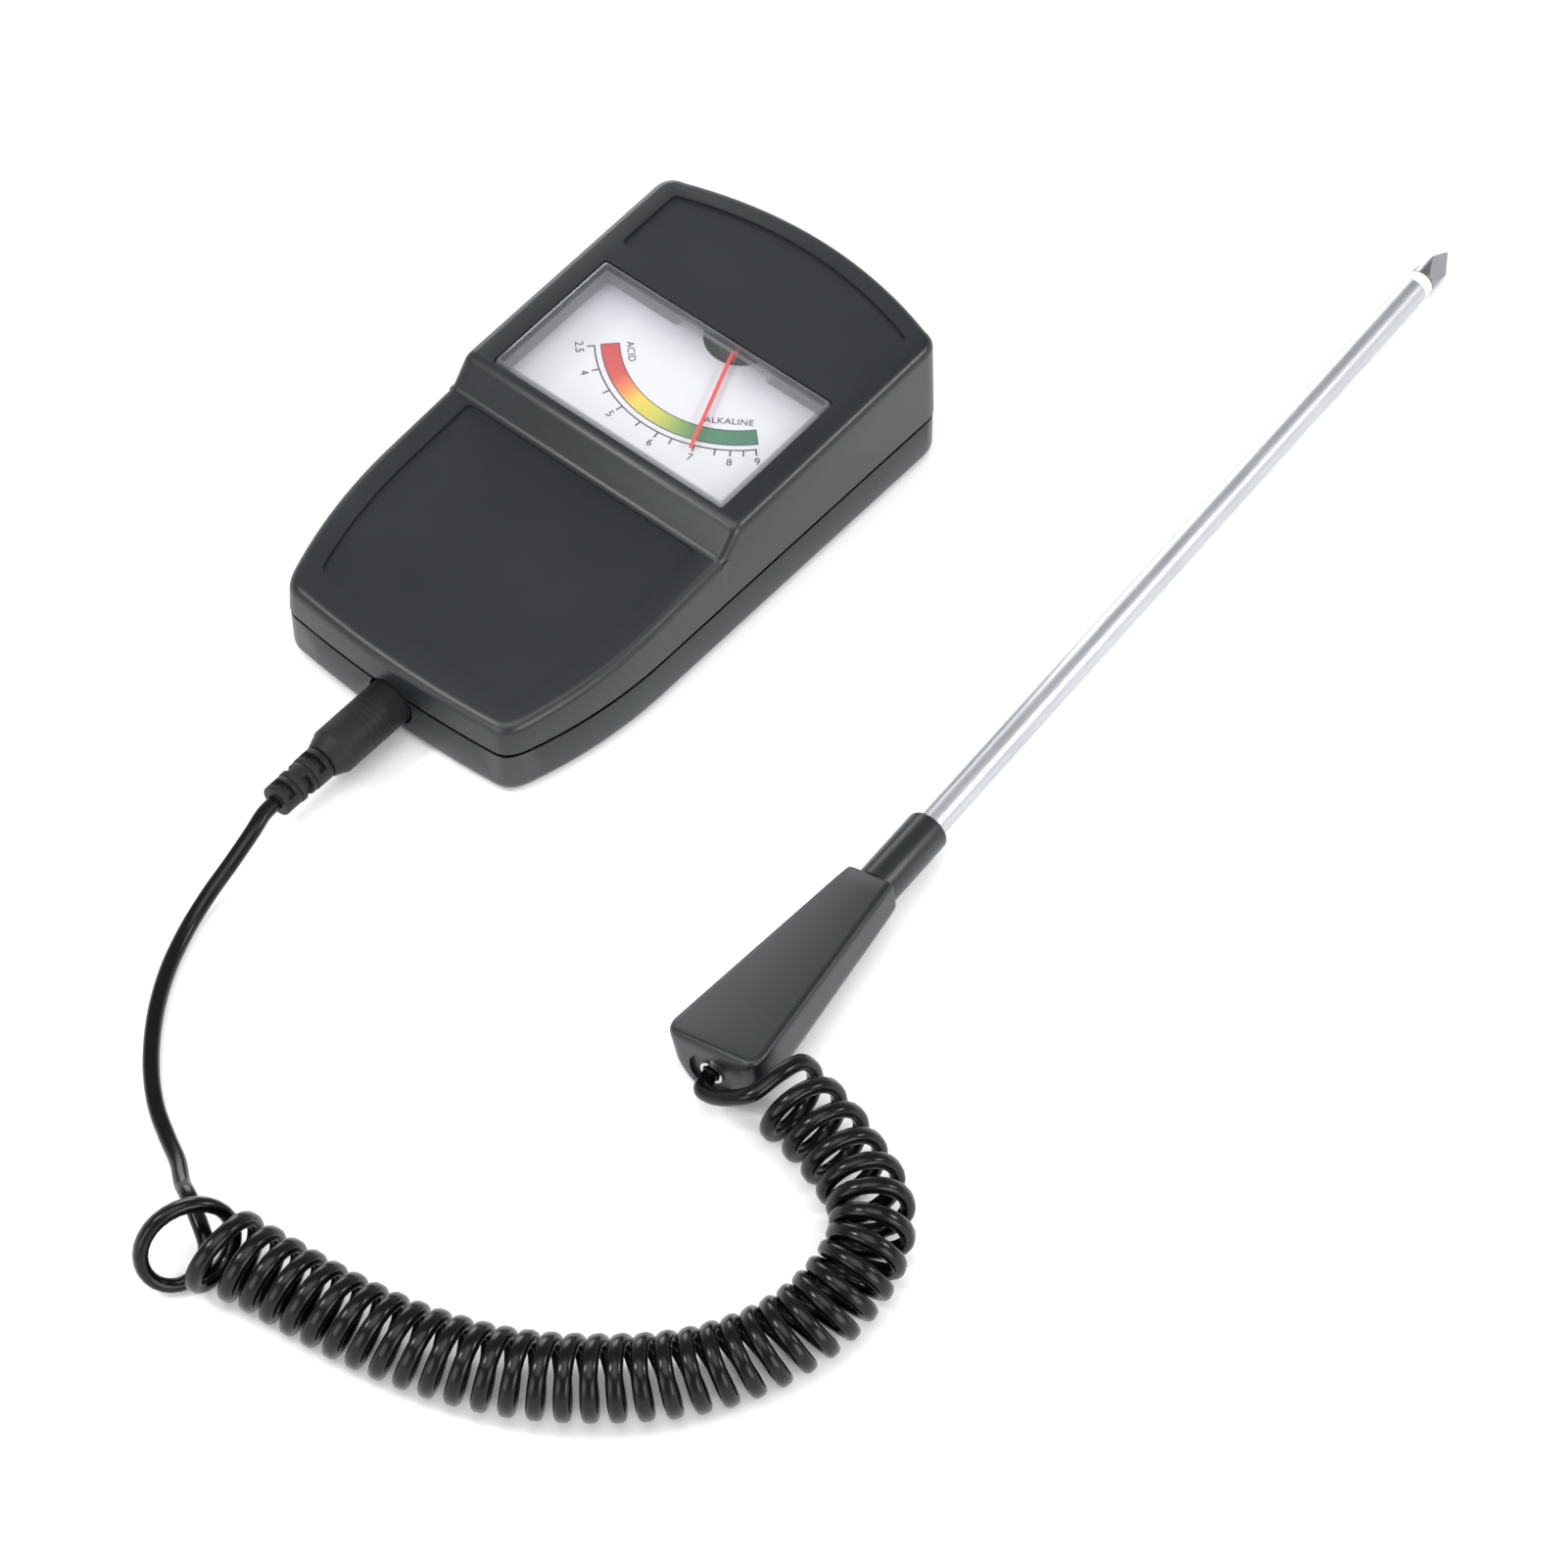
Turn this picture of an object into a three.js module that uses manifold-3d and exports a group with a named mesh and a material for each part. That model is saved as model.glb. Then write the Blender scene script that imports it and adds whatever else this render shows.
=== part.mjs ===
// Analogue soil pH meter: a hand-sized dial instrument, a plug-in coiled lead and a rod probe.
// Units are millimetres, +Z is up. The origin is the centre of the case's underside,
// +Y runs along the case away from its lead socket and +X points to the reader's right.

import * as THREE from 'three';
import { mergeVertices } from 'three/addons/utils/BufferGeometryUtils.js';
import Module from 'manifold-3d';

const wasm = await Module();
wasm.setup();

// ---------------------------------------------------------------- driving dimensions

// Case
const CASE_HALF_WIDTH = 38.2;
const FAR_CORNER_Y = 62.0;
const FAR_PEAK_Y = 68.6;
const SIDE_CURVE_Y = -28.0;
const FRONT_CORNER_X = 32.5;
const FRONT_CORNER_Y = -63.0;
const FRONT_EDGE_X = 27.0;
const FRONT_EDGE_Y = -68.0;
const FRONT_PEAK_Y = -69.4;
const FAR_CORNER_RADIUS = 4.5;
const WALL = 2.2;
const SEAM_Z = 13.4;
const SEAM_GAP = 0.3;
const EDGE_CHAMFER = 2.0;

// Top of the front cover, side view
const TOP_SLOPE = 0.04;
const TOP_FAR_Z = 35.5;
const STEP_TOP_Y = -3.6;
const STEP_FOOT_Y = -8.4;
const STEP_FOOT_Z = 26.4;
const FRONT_TOP_Z = 20.9;

// Window, lens and dial
const WINDOW_WIDTH = 63.0;
const WINDOW_LENGTH = 35.8;
const WINDOW_CENTRE_Y = 16.7;
const LENS_PROUD = 0.4;
const LENS_THICKNESS = 1.3;
const LENS_WALL = 1.4;
const LENS_HEIGHT = 5.5;
const LENS_FLANGE = 2.0;
const DIAL_THICKNESS = 0.8;
const DIAL_CUTOUT_RADIUS = 8.4;

// Pointer and moving-coil movement
const PIVOT_X = 1.9;
const PIVOT_Y = 40.0;
const POINTER_LENGTH = 33.2;
const POINTER_REST_DEG = 21.5;
const YOKE_OUTER = 11.0;
const YOKE_INNER = 8.6;
const YOKE_TOP = -4.0;
const YOKE_HEIGHT = 10.0;
const CORE_RADIUS = 5.2;
const COIL_HALF_WIDTH = 7.0;
const COIL_WIRE = 1.1;
const COIL_BAND = 3.6;
const COIL_TOP = -2.7;
const COIL_BOTTOM = -15.3;
const PIVOT_RADIUS = 0.6;
const STOP_RADIUS = 9.6;
const STOP_DEG = 56.0;
const BRIDGE_REACH = 9.8;
const FRAME_TOP = -17.5;
const FRAME_THICKNESS = 2.0;
const TILT_PIECE_GAP = 0.2;
const LUG_X = 6.0;
const WIRE_RADIUS = 0.65;

// Socket and plug
const PLUG_Z = 9.0;
const PLUG_RADIUS = 5.3;
const PLUG_HOLE_RADIUS = 5.9;
const PLUG_NOSE_Y = -66.9;
const PLUG_BODY_LENGTH = 20.1;
const PLUG_SHOULDER_LENGTH = 3.2;
const RELIEF_LENGTH = 13.3;
const RELIEF_RADIUS = 3.35;
const PIN_RADIUS = 1.75;
const PIN_LENGTH = 14.0;

// Lead
const CORD_RADIUS = 1.7;
const COIL_CORD_RADIUS = 8.75;
const FACE_GAP = 0.3;

// Probe, in its own axes: +Y along the rod towards the tip, origin at the collar's mouth
const PROBE_ORIGIN = [104.9, -23.0, 8.0];
const PROBE_YAW_DEG = 4.46;
const PROBE_PITCH_DEG = -1.43;
const PROBE_ROLL_DEG = -12.0;
const ROD_RADIUS = 3.03;
const ROD_BORE_RADIUS = 2.4;
const CONDUCTOR_RADIUS = 0.8;
const ROD_TIP_Y = 201.0;
const TIP_LENGTH = 11.6;
const TIP_RING_LENGTH = 2.9;
const COLLAR_RADIUS = 4.65;
const COLLAR_LENGTH = 19.3;
const HANDLE_LENGTH = 54.6;
const HANDLE_NARROW = { halfTop: 5.8, top: 4.9, bottom: -5.1 };
const HANDLE_WIDE = { halfTop: 11.8, top: 6.0, bottom: -9.0 };
const HANDLE_WALL = 1.8;
const HANDLE_EXIT = { x: -1.2, z: -2.3, recessRadius: 5.0 };

const FRONT_COVER_TOP = (y) => TOP_FAR_Z + TOP_SLOPE * (y - FAR_PEAK_Y);
const TILT = Math.atan(TOP_SLOPE);
const rad = THREE.MathUtils.degToRad;

// ---------------------------------------------------------------- materials

const plastic = (color, roughness) => new THREE.MeshStandardMaterial({ color, roughness, metalness: 0 });
const metal = (color, roughness) => new THREE.MeshStandardMaterial({ color, roughness, metalness: 1 });

const MATERIALS = {
  casePlastic: plastic(0x35363a, 0.62),
  blackPlastic: plastic(0x18181a, 0.5),
  plugVinyl: plastic(0x202022, 0.6),
  cordVinyl: plastic(0x19191b, 0.3),
  redVinyl: plastic(0xb02018, 0.45),
  whitePlastic: plastic(0xd8d8d4, 0.5),
  dialWhite: plastic(0xe2e3e8, 0.55),
  pointerRed: plastic(0xe8402e, 0.4),
  clearPlastic: new THREE.MeshStandardMaterial({
    color: 0xf4f6f8, roughness: 0.05, metalness: 0, transparent: true, opacity: 0.3,
  }),
  rodMetal: metal(0xd6d7da, 0.25),
  tipMetal: metal(0xa4a5a8, 0.35),
  nickel: metal(0xc4c4c0, 0.25),
  steel: metal(0x9a9b9e, 0.4),
  brass: metal(0xb8944a, 0.35),
  copper: metal(0xb06a3c, 0.35),
  softIron: metal(0x6d6e70, 0.55),
  magnet: metal(0x3c3d40, 0.5),
};

// ---------------------------------------------------------------- solid helpers

// A closed geometry as a solid that can be joined and cut.
function solid(geometry) {
  const bare = geometry.index ? geometry.toNonIndexed() : geometry.clone();
  bare.deleteAttribute('normal');
  bare.deleteAttribute('uv');
  const merged = mergeVertices(bare, 1e-4);
  return new wasm.Manifold(new wasm.Mesh({
    numProp: 3,
    vertProperties: new Float32Array(merged.attributes.position.array),
    triVerts: new Uint32Array(merged.index.array),
  }));
}

function geometryOf(manifold) {
  const mesh = manifold.getMesh();
  const geometry = new THREE.BufferGeometry();
  geometry.setAttribute('position', new THREE.BufferAttribute(new Float32Array(mesh.vertProperties), 3));
  geometry.setIndex(new THREE.BufferAttribute(new Uint32Array(mesh.triVerts), 1));
  return geometry;
}

function cut(base, ...tools) {
  return geometryOf(tools.reduce((body, tool) => body.subtract(solid(tool)), solid(base)));
}

function join(base, ...others) {
  return geometryOf(others.reduce((body, other) => body.add(solid(other)), solid(base)));
}

function common(base, ...others) {
  return geometryOf(others.reduce((body, other) => body.intersect(solid(other)), solid(base)));
}

function moved(geometry, x, y, z) {
  return geometry.clone().translate(x, y, z);
}

// A box given by its lowest and highest corners.
function block(low, high) {
  const size = high.map((value, axis) => value - low[axis]);
  const centre = high.map((value, axis) => (value + low[axis]) / 2);
  return new THREE.BoxGeometry(...size).translate(...centre);
}

// A cylinder along Z, from zLow to zHigh.
function rodZ(radius, zLow, zHigh, sides = 20, x = 0, y = 0) {
  const geometry = new THREE.CylinderGeometry(radius, radius, zHigh - zLow, sides);
  return geometry.rotateX(Math.PI / 2).translate(x, y, (zLow + zHigh) / 2);
}

// A cylinder along Y, from yLow to yHigh.
function rodY(radius, yLow, yHigh, sides = 20, x = 0, z = 0) {
  const geometry = new THREE.CylinderGeometry(radius, radius, yHigh - yLow, sides);
  return geometry.translate(x, (yLow + yHigh) / 2, z);
}

// A profile of [radius, y] pairs turned about the Y axis; it closes on the axis or on itself.
function turnedY(profile, sides = 24) {
  return new THREE.LatheGeometry(profile.map(([r, y]) => new THREE.Vector2(r, y)), sides);
}

function ringY(outer, inner, yLow, yHigh, sides = 24) {
  return turnedY([[inner, yLow], [outer, yLow], [outer, yHigh], [inner, yHigh], [inner, yLow]], sides);
}

function ringZ(outer, inner, zLow, zHigh, sides = 24) {
  return ringY(outer, inner, zLow, zHigh, sides).rotateX(Math.PI / 2);
}

// A round tube that follows points.
function tube(points, radius, steps, sides = 8) {
  const curve = new THREE.CatmullRomCurve3(points.map((p) => new THREE.Vector3(...p)));
  const section = new THREE.Shape();
  for (let i = 0; i < sides; i += 1) {
    const angle = (2 * Math.PI * i) / sides;
    const at = [radius * Math.cos(angle), radius * Math.sin(angle)];
    if (i === 0) section.moveTo(...at);
    else section.lineTo(...at);
  }
  section.closePath();
  return new THREE.ExtrudeGeometry(section, { steps, extrudePath: curve, bevelEnabled: false });
}

// A solid that blends between rings of points with the same count; rings are convex.
function loft(rings) {
  const count = rings[0].length;
  const positions = rings.flat().flat();
  const index = [];
  for (let r = 0; r < rings.length - 1; r += 1) {
    for (let i = 0; i < count; i += 1) {
      const a = r * count + i;
      const b = r * count + ((i + 1) % count);
      index.push(a, a + count, b, b, a + count, b + count);
    }
  }
  const last = (rings.length - 1) * count;
  for (let i = 1; i < count - 1; i += 1) {
    index.push(0, i, i + 1);
    index.push(last, last + i + 1, last + i);
  }
  const geometry = new THREE.BufferGeometry();
  geometry.setAttribute('position', new THREE.Float32BufferAttribute(positions, 3));
  geometry.setIndex(index);
  return geometry;
}

function addPiece(group, name, geometry, material) {
  const mesh = new THREE.Mesh(geometry, material);
  mesh.name = name;
  group.add(mesh);
}

const meter = new THREE.Group();

// ---------------------------------------------------------------- case outline and side profile

// The case in plan, moved in by inset on every side.
function caseOutline(inset) {
  const w = CASE_HALF_WIDTH - inset;
  const farY = FAR_CORNER_Y - inset;
  const peakControl = farY + 2 * (FAR_PEAK_Y - FAR_CORNER_Y);
  const frontX = FRONT_CORNER_X - inset;
  const frontY = FRONT_CORNER_Y + inset * 0.4;
  const edgeX = FRONT_EDGE_X - inset;
  const edgeY = FRONT_EDGE_Y + inset;
  const frontControl = edgeY - 2 * (FRONT_EDGE_Y - FRONT_PEAK_Y);
  const r = FAR_CORNER_RADIUS;
  const shape = new THREE.Shape();
  shape.moveTo(w, farY - r);
  shape.quadraticCurveTo(w, farY, w - r, farY + 0.8);
  shape.quadraticCurveTo(0, peakControl - 0.8, -w + r, farY + 0.8);
  shape.quadraticCurveTo(-w, farY, -w, farY - r);
  shape.lineTo(-w, SIDE_CURVE_Y);
  shape.quadraticCurveTo(-w, SIDE_CURVE_Y - 18, -frontX, frontY);
  shape.quadraticCurveTo(-frontX + 1.7, edgeY, -edgeX, edgeY);
  shape.quadraticCurveTo(0, frontControl, edgeX, edgeY);
  shape.quadraticCurveTo(frontX - 1.7, edgeY, frontX, frontY);
  shape.quadraticCurveTo(w, SIDE_CURVE_Y - 18, w, SIDE_CURVE_Y);
  shape.closePath();
  return shape;
}

function outlinePrism(inset, zLow, zHigh) {
  const options = { depth: zHigh - zLow, bevelEnabled: false, curveSegments: 6 };
  return new THREE.ExtrudeGeometry(caseOutline(inset), options).translate(0, 0, zLow);
}

// The side view of the case top, lowered by drop, as a prism across the whole width.
function topProfilePrism(drop, shift, chamfer) {
  const yFar = FAR_PEAK_Y + 8;
  const yNear = FRONT_PEAK_Y - 8;
  const nearSlope = (STEP_FOOT_Z - FRONT_TOP_Z) / (STEP_FOOT_Y - FRONT_EDGE_Y);
  const floorZ = -8;
  const shape = new THREE.Shape();
  shape.moveTo(yNear, floorZ);
  shape.lineTo(yFar, floorZ);
  shape.lineTo(yFar, FRONT_COVER_TOP(yFar) - drop);
  shape.lineTo(STEP_TOP_Y + shift, FRONT_COVER_TOP(STEP_TOP_Y) - drop);
  shape.lineTo(STEP_FOOT_Y + shift, STEP_FOOT_Z - drop);
  shape.lineTo(yNear, FRONT_TOP_Z - drop + nearSlope * (yNear - FRONT_EDGE_Y));
  shape.closePath();
  const halfDepth = CASE_HALF_WIDTH + (chamfer ? 0 : 5);
  const geometry = new THREE.ExtrudeGeometry(shape, {
    depth: 2 * (halfDepth - chamfer),
    bevelEnabled: chamfer > 0,
    bevelThickness: chamfer,
    bevelSize: chamfer,
    bevelOffset: -chamfer,
    bevelSegments: 1,
  });
  geometry.translate(0, 0, -(halfDepth - chamfer));
  // The profile's X is the case's Y and its extrusion is the case's X.
  return geometry.applyMatrix4(new THREE.Matrix4().makeBasis(
    new THREE.Vector3(0, 1, 0), new THREE.Vector3(0, 0, 1), new THREE.Vector3(1, 0, 0),
  ));
}

// ---------------------------------------------------------------- movement frame of reference

// The movement leans with the sloping window; its origin is the pivot axis at the dial's face.
const LENS_TOP_Z = FRONT_COVER_TOP(WINDOW_CENTRE_Y) + LENS_PROUD;
const DIAL_CENTRE_Z = LENS_TOP_Z - LENS_HEIGHT;
const movement = new THREE.Group();
movement.position.set(PIVOT_X, PIVOT_Y, DIAL_CENTRE_Z + TOP_SLOPE * (PIVOT_Y - WINDOW_CENTRE_Y));
movement.rotation.x = TILT;
movement.updateMatrix();
const inCase = (geometry) => geometry.clone().applyMatrix4(movement.matrix);

const WINDOW_X = -PIVOT_X;
const WINDOW_FAR = WINDOW_CENTRE_Y + WINDOW_LENGTH / 2 - PIVOT_Y;
const WINDOW_NEAR = WINDOW_FAR - WINDOW_LENGTH;
const COVER_TOP = LENS_HEIGHT - LENS_PROUD;
const COVER_UNDERSIDE = COVER_TOP - WALL;
const FRAME_SCREWS = [[-23.0, 10.5], [20.0, 10.5]];

// ---------------------------------------------------------------- case

const CASE_SCREWS = [[-30.0, 55.0], [30.0, 55.0], [-24.0, -56.0], [24.0, -56.0]];
const BOSS_RADIUS = 3.3;
const SCREW_SHANK = 1.4;
const SCREW_HEAD = 2.8;
const SCREW_CLEARANCE = 1.8;
const COUNTERBORE_RADIUS = 3.2;
const COUNTERBORE_DEPTH = 2.5;
const REAR_BOSS_TOP = 12.6;
const FRONT_BOSS_BASE = 13.6;
const BOSS_WALL_OVERLAP = 0.6;

const plugHole = () => rodY(PLUG_HOLE_RADIUS, FRONT_PEAK_Y - 4, FRONT_EDGE_Y + 6, 32, 0, PLUG_Z);

function coverRoof(x, y) {
  const nearSlope = (STEP_FOOT_Z - FRONT_TOP_Z) / (STEP_FOOT_Y - FRONT_EDGE_Y);
  const roof = y > STEP_TOP_Y ? FRONT_COVER_TOP(y) : FRONT_TOP_Z + nearSlope * (y - FRONT_EDGE_Y);
  return roof - WALL + BOSS_WALL_OVERLAP;
}

function frontCover() {
  const outer = common(
    outlinePrism(0, SEAM_Z, TOP_FAR_Z + 3),
    topProfilePrism(0, 0, EDGE_CHAMFER),
  );
  const inner = common(
    outlinePrism(WALL, SEAM_Z - 3, TOP_FAR_Z + 3),
    topProfilePrism(WALL, WALL * 0.8, 0),
  );
  const shell = cut(outer, inner);
  const bosses = CASE_SCREWS.map(([x, y]) => cut(
    rodZ(BOSS_RADIUS, FRONT_BOSS_BASE, coverRoof(x, y), 14, x, y),
    rodZ(SCREW_SHANK + 0.25, FRONT_BOSS_BASE - 1, FRONT_BOSS_BASE + 7, 12, x, y),
  ));
  const frameBosses = FRAME_SCREWS.map(([x, y]) => inCase(cut(
    rodZ(BOSS_RADIUS, FRAME_TOP + TILT_PIECE_GAP, COVER_UNDERSIDE + BOSS_WALL_OVERLAP, 14, x, y),
    rodZ(SCREW_SHANK + 0.25, FRAME_TOP - 1, FRAME_TOP + 8, 12, x, y),
  )));
  const windowHole = inCase(block(
    [WINDOW_X - WINDOW_WIDTH / 2 - 0.2, WINDOW_NEAR - 0.2, 0],
    [WINDOW_X + WINDOW_WIDTH / 2 + 0.2, WINDOW_FAR + 0.2, COVER_TOP + 4],
  ));
  return cut(join(shell, ...bosses, ...frameBosses), windowHole, plugHole());
}

function rearCover() {
  const rimZ = SEAM_Z - SEAM_GAP;
  const outer = new THREE.ExtrudeGeometry(caseOutline(0), {
    depth: rimZ,
    bevelEnabled: true,
    bevelThickness: EDGE_CHAMFER,
    bevelSize: EDGE_CHAMFER,
    bevelOffset: -EDGE_CHAMFER,
    bevelSegments: 2,
    curveSegments: 6,
  }).translate(0, 0, EDGE_CHAMFER);
  const upright = cut(outer, block([-60, -90, rimZ], [60, 90, rimZ + 20]));
  const tray = cut(upright, outlinePrism(WALL, WALL, rimZ + 5));
  const bosses = CASE_SCREWS.map(([x, y]) => rodZ(BOSS_RADIUS + 0.9, 0.5, REAR_BOSS_TOP, 16, x, y));
  const holes = CASE_SCREWS.flatMap(([x, y]) => [
    rodZ(SCREW_CLEARANCE, -1, REAR_BOSS_TOP + 1, 12, x, y),
    rodZ(COUNTERBORE_RADIUS, -1, COUNTERBORE_DEPTH, 16, x, y),
  ]);
  const arch = block([-21.0, -80.0, -1.0], [21.0, -60.5, 1.0]);
  return cut(join(tray, ...bosses), ...holes, arch, plugHole());
}

// A pan-headed self-tapping screw, head down at z = 0.
function panScrew(headRadius, headHeight, shankRadius, length) {
  const slot = block([-headRadius, -0.3, -1], [headRadius, 0.3, 0.6]);
  return cut(turnedY([
    [0, 0], [headRadius, 0], [headRadius, headHeight], [shankRadius, headHeight],
    [shankRadius, length - 1.5], [0, length],
  ], 12).rotateX(Math.PI / 2), slot);
}

function buildCase() {
  addPiece(meter, 'front_cover', frontCover(), MATERIALS.casePlastic);
  addPiece(meter, 'rear_cover', rearCover(), MATERIALS.casePlastic);
  CASE_SCREWS.forEach(([x, y], i) => {
    const headBase = COUNTERBORE_DEPTH - 1.9;
    const screw = panScrew(SCREW_HEAD, 1.8, SCREW_SHANK, 17.5);
    addPiece(meter, `case_screw_${i + 1}`, moved(screw, x, y, headBase), MATERIALS.steel);
  });
}

// ---------------------------------------------------------------- lens and dial

function lens() {
  const x0 = WINDOW_X - WINDOW_WIDTH / 2;
  const x1 = WINDOW_X + WINDOW_WIDTH / 2;
  const footZ = 0.3;
  const box = block([x0, WINDOW_NEAR, footZ], [x1, WINDOW_FAR, LENS_HEIGHT]);
  const hollow = block(
    [x0 + LENS_WALL, WINDOW_NEAR + LENS_WALL, footZ - 1],
    [x1 - LENS_WALL, WINDOW_FAR - LENS_WALL, LENS_HEIGHT - LENS_THICKNESS],
  );
  const flangeTop = COVER_UNDERSIDE - TILT_PIECE_GAP;
  const flanges = [x0 - LENS_FLANGE, x1 - 0.5].map((x) => block(
    [x, WINDOW_NEAR + 3, flangeTop - 1.2],
    [x + LENS_FLANGE + 0.5, WINDOW_FAR - 3, flangeTop],
  ));
  // The needle sweeps in under the far wall, which is cut short there.
  const needlePass = block([-12.5, WINDOW_FAR - 3, footZ - 1], [12.5, WINDOW_FAR + 1, 2.5]);
  return cut(join(box, ...flanges), hollow, needlePass);
}

function dialPlate() {
  const plate = block([WINDOW_X - 33.5, -42.4, -DIAL_THICKNESS], [WINDOW_X + 33.5, -2.0, 0]);
  return cut(plate, rodZ(DIAL_CUTOUT_RADIUS, -5, 5, 32));
}

// ---------------------------------------------------------------- moving-coil movement

const pointerAngle = rad(POINTER_REST_DEG);
// Pieces of the moving system are drawn with the needle along -Y, then turned to the rest angle.
const atRest = (geometry) => geometry.rotateZ(pointerAngle);

function needle() {
  const half = 0.36;
  const lowZ = -1.3;
  const riseZ = 1.2;
  const thickness = 0.5;
  const hub = cut(
    rodZ(1.7, lowZ - 0.2, lowZ + 0.7, 20),
    rodZ(PIVOT_RADIUS + 0.1, lowZ - 1, lowZ + 2, 16),
  );
  const inner = block([-half, -6.2, lowZ], [half, -1.2, lowZ + thickness]);
  const riser = block([-half, -6.6, lowZ], [half, -6.1, riseZ + thickness]);
  const outer = block([-half, -POINTER_LENGTH, riseZ], [half, -6.1, riseZ + thickness]);
  const tail = block([-half, 1.2, lowZ], [half, 10.4, lowZ + thickness]);
  return atRest(join(hub, inner, riser, outer, tail));
}

// One flat spiral hairspring between two radii.
function hairspring(zLow) {
  const turns = 2.5;
  const steps = 30;
  const inner = 1.1;
  const outer = 4.4;
  const width = 0.3;
  const along = (offset) => Array.from({ length: steps + 1 }, (_, i) => {
    const t = i / steps;
    const radius = inner + (outer - inner) * t + offset;
    const angle = 2 * Math.PI * turns * t;
    return new THREE.Vector2(radius * Math.cos(angle), radius * Math.sin(angle));
  });
  const shape = new THREE.Shape([...along(width / 2), ...along(-width / 2).reverse()]);
  return new THREE.ExtrudeGeometry(shape, { depth: 0.5, bevelEnabled: false }).translate(0, 0, zLow);
}

function movingCoil() {
  const y = COIL_BAND / 2;
  return atRest(cut(
    block([-COIL_HALF_WIDTH, -y, COIL_BOTTOM], [COIL_HALF_WIDTH, y, COIL_TOP]),
    block(
      [-COIL_HALF_WIDTH + COIL_WIRE, -y - 1, COIL_BOTTOM + COIL_WIRE],
      [COIL_HALF_WIDTH - COIL_WIRE, y + 1, COIL_TOP - COIL_WIRE],
    ),
  ));
}

function movementFrame() {
  const low = FRAME_TOP - FRAME_THICKNESS;
  const plate = block([-26.9, -40.0, low], [23.1, 15.0, FRAME_TOP]);
  const spacer = ringZ(YOKE_OUTER, YOKE_INNER + 0.6, FRAME_TOP - 0.5, YOKE_TOP - YOKE_HEIGHT - 0.2);
  const posts = [[-24.5, -36.5], [20.7, -36.5], [-24.5, -6.0], [20.7, -6.0]].map(([x, y]) => (
    rodZ(2.2, FRAME_TOP - 0.5, -DIAL_THICKNESS - TILT_PIECE_GAP, 16, x, y)
  ));
  const holes = FRAME_SCREWS.map(([x, y]) => rodZ(SCREW_CLEARANCE, low - 1, FRAME_TOP + 1, 16, x, y));
  const jewelHole = rodZ(1.7, low - 1, FRAME_TOP + 1, 16);
  return cut(join(plate, spacer, ...posts), ...holes, jewelHole);
}

function buildMovement() {
  const put = (name, geometry, material) => addPiece(movement, name, geometry, material);
  const frameLow = FRAME_TOP - FRAME_THICKNESS;
  const yokeBottom = YOKE_TOP - YOKE_HEIGHT;
  const bridgeZ = 1.7;
  const stopAngle = rad(STOP_DEG);
  put('meter_lens', lens(), MATERIALS.clearPlastic);
  put('dial_plate', dialPlate(), MATERIALS.dialWhite);
  put('movement_frame', movementFrame(), MATERIALS.blackPlastic);
  put('yoke_ring', ringZ(YOKE_OUTER, YOKE_INNER, yokeBottom, YOKE_TOP, 28), MATERIALS.softIron);
  put('core_magnet', rodZ(CORE_RADIUS, yokeBottom, YOKE_TOP, 32), MATERIALS.magnet);
  const bracket = (side) => block(
    [-1.2, Math.min(side * (CORE_RADIUS + 0.15), side * (YOKE_INNER - 0.25)), yokeBottom + 2],
    [1.2, Math.max(side * (CORE_RADIUS + 0.15), side * (YOKE_INNER - 0.25)), YOKE_TOP - 2],
  );
  put('core_bracket_far', bracket(1), MATERIALS.brass);
  put('core_bracket_near', bracket(-1), MATERIALS.brass);
  [-1, 1].forEach((side, i) => {
    const name = ['left', 'right'][i];
    const x = side * BRIDGE_REACH;
    put(`bridge_post_${name}`, rodZ(1.0, YOKE_TOP + TILT_PIECE_GAP, bridgeZ - 0.1, 16, x), MATERIALS.brass);
    put(`stop_pin_${name}`, rodZ(
      0.5, YOKE_TOP + TILT_PIECE_GAP, 0.2, 12,
      side * STOP_RADIUS * Math.sin(stopAngle), STOP_RADIUS * Math.cos(stopAngle),
    ), MATERIALS.steel);
  });
  put('front_bridge', cut(
    block([-11.2, -1.8, bridgeZ], [11.2, 1.8, bridgeZ + 0.8]),
    rodZ(1.5, bridgeZ - 1, bridgeZ + 2, 16),
  ), MATERIALS.brass);
  put('jewel_screw_front', rodZ(1.4, 1.25, 2.6, 16), MATERIALS.brass);
  put('jewel_screw_rear', rodZ(1.6, frameLow - 0.6, FRAME_TOP + 0.4, 16), MATERIALS.brass);
  FRAME_SCREWS.forEach(([x, y], i) => {
    const screw = panScrew(SCREW_HEAD, 1.6, SCREW_SHANK, 9.5);
    put(`frame_screw_${i + 1}`, moved(screw, x, y, frameLow - 1.8), MATERIALS.steel);
  });
  put('pointer', needle(), MATERIALS.pointerRed);
  put('pointer_counterweight', atRest(rodZ(1.1, -0.7, 0.9, 16, 0, 7.4)), MATERIALS.brass);
  put('moving_coil', movingCoil(), MATERIALS.copper);
  put('pivot_front', rodZ(PIVOT_RADIUS, COIL_TOP + 0.1, 1.1, 12), MATERIALS.steel);
  put('pivot_rear', rodZ(PIVOT_RADIUS, FRAME_TOP + 0.6, COIL_BOTTOM - 0.1, 12), MATERIALS.steel);
  put('hairspring_front', hairspring(-2.4), MATERIALS.brass);
  put('hairspring_rear', hairspring(COIL_BOTTOM - 1.0), MATERIALS.brass);
  [-1, 1].forEach((side, i) => {
    const name = ['signal', 'ground'][i];
    put(`movement_lug_${name}`, block(
      [side * LUG_X - 1.5, -11.8, FRAME_TOP + TILT_PIECE_GAP],
      [side * LUG_X + 1.5, -11.2, FRAME_TOP + 5],
    ), MATERIALS.nickel);
  });
  meter.add(movement);
}

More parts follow.
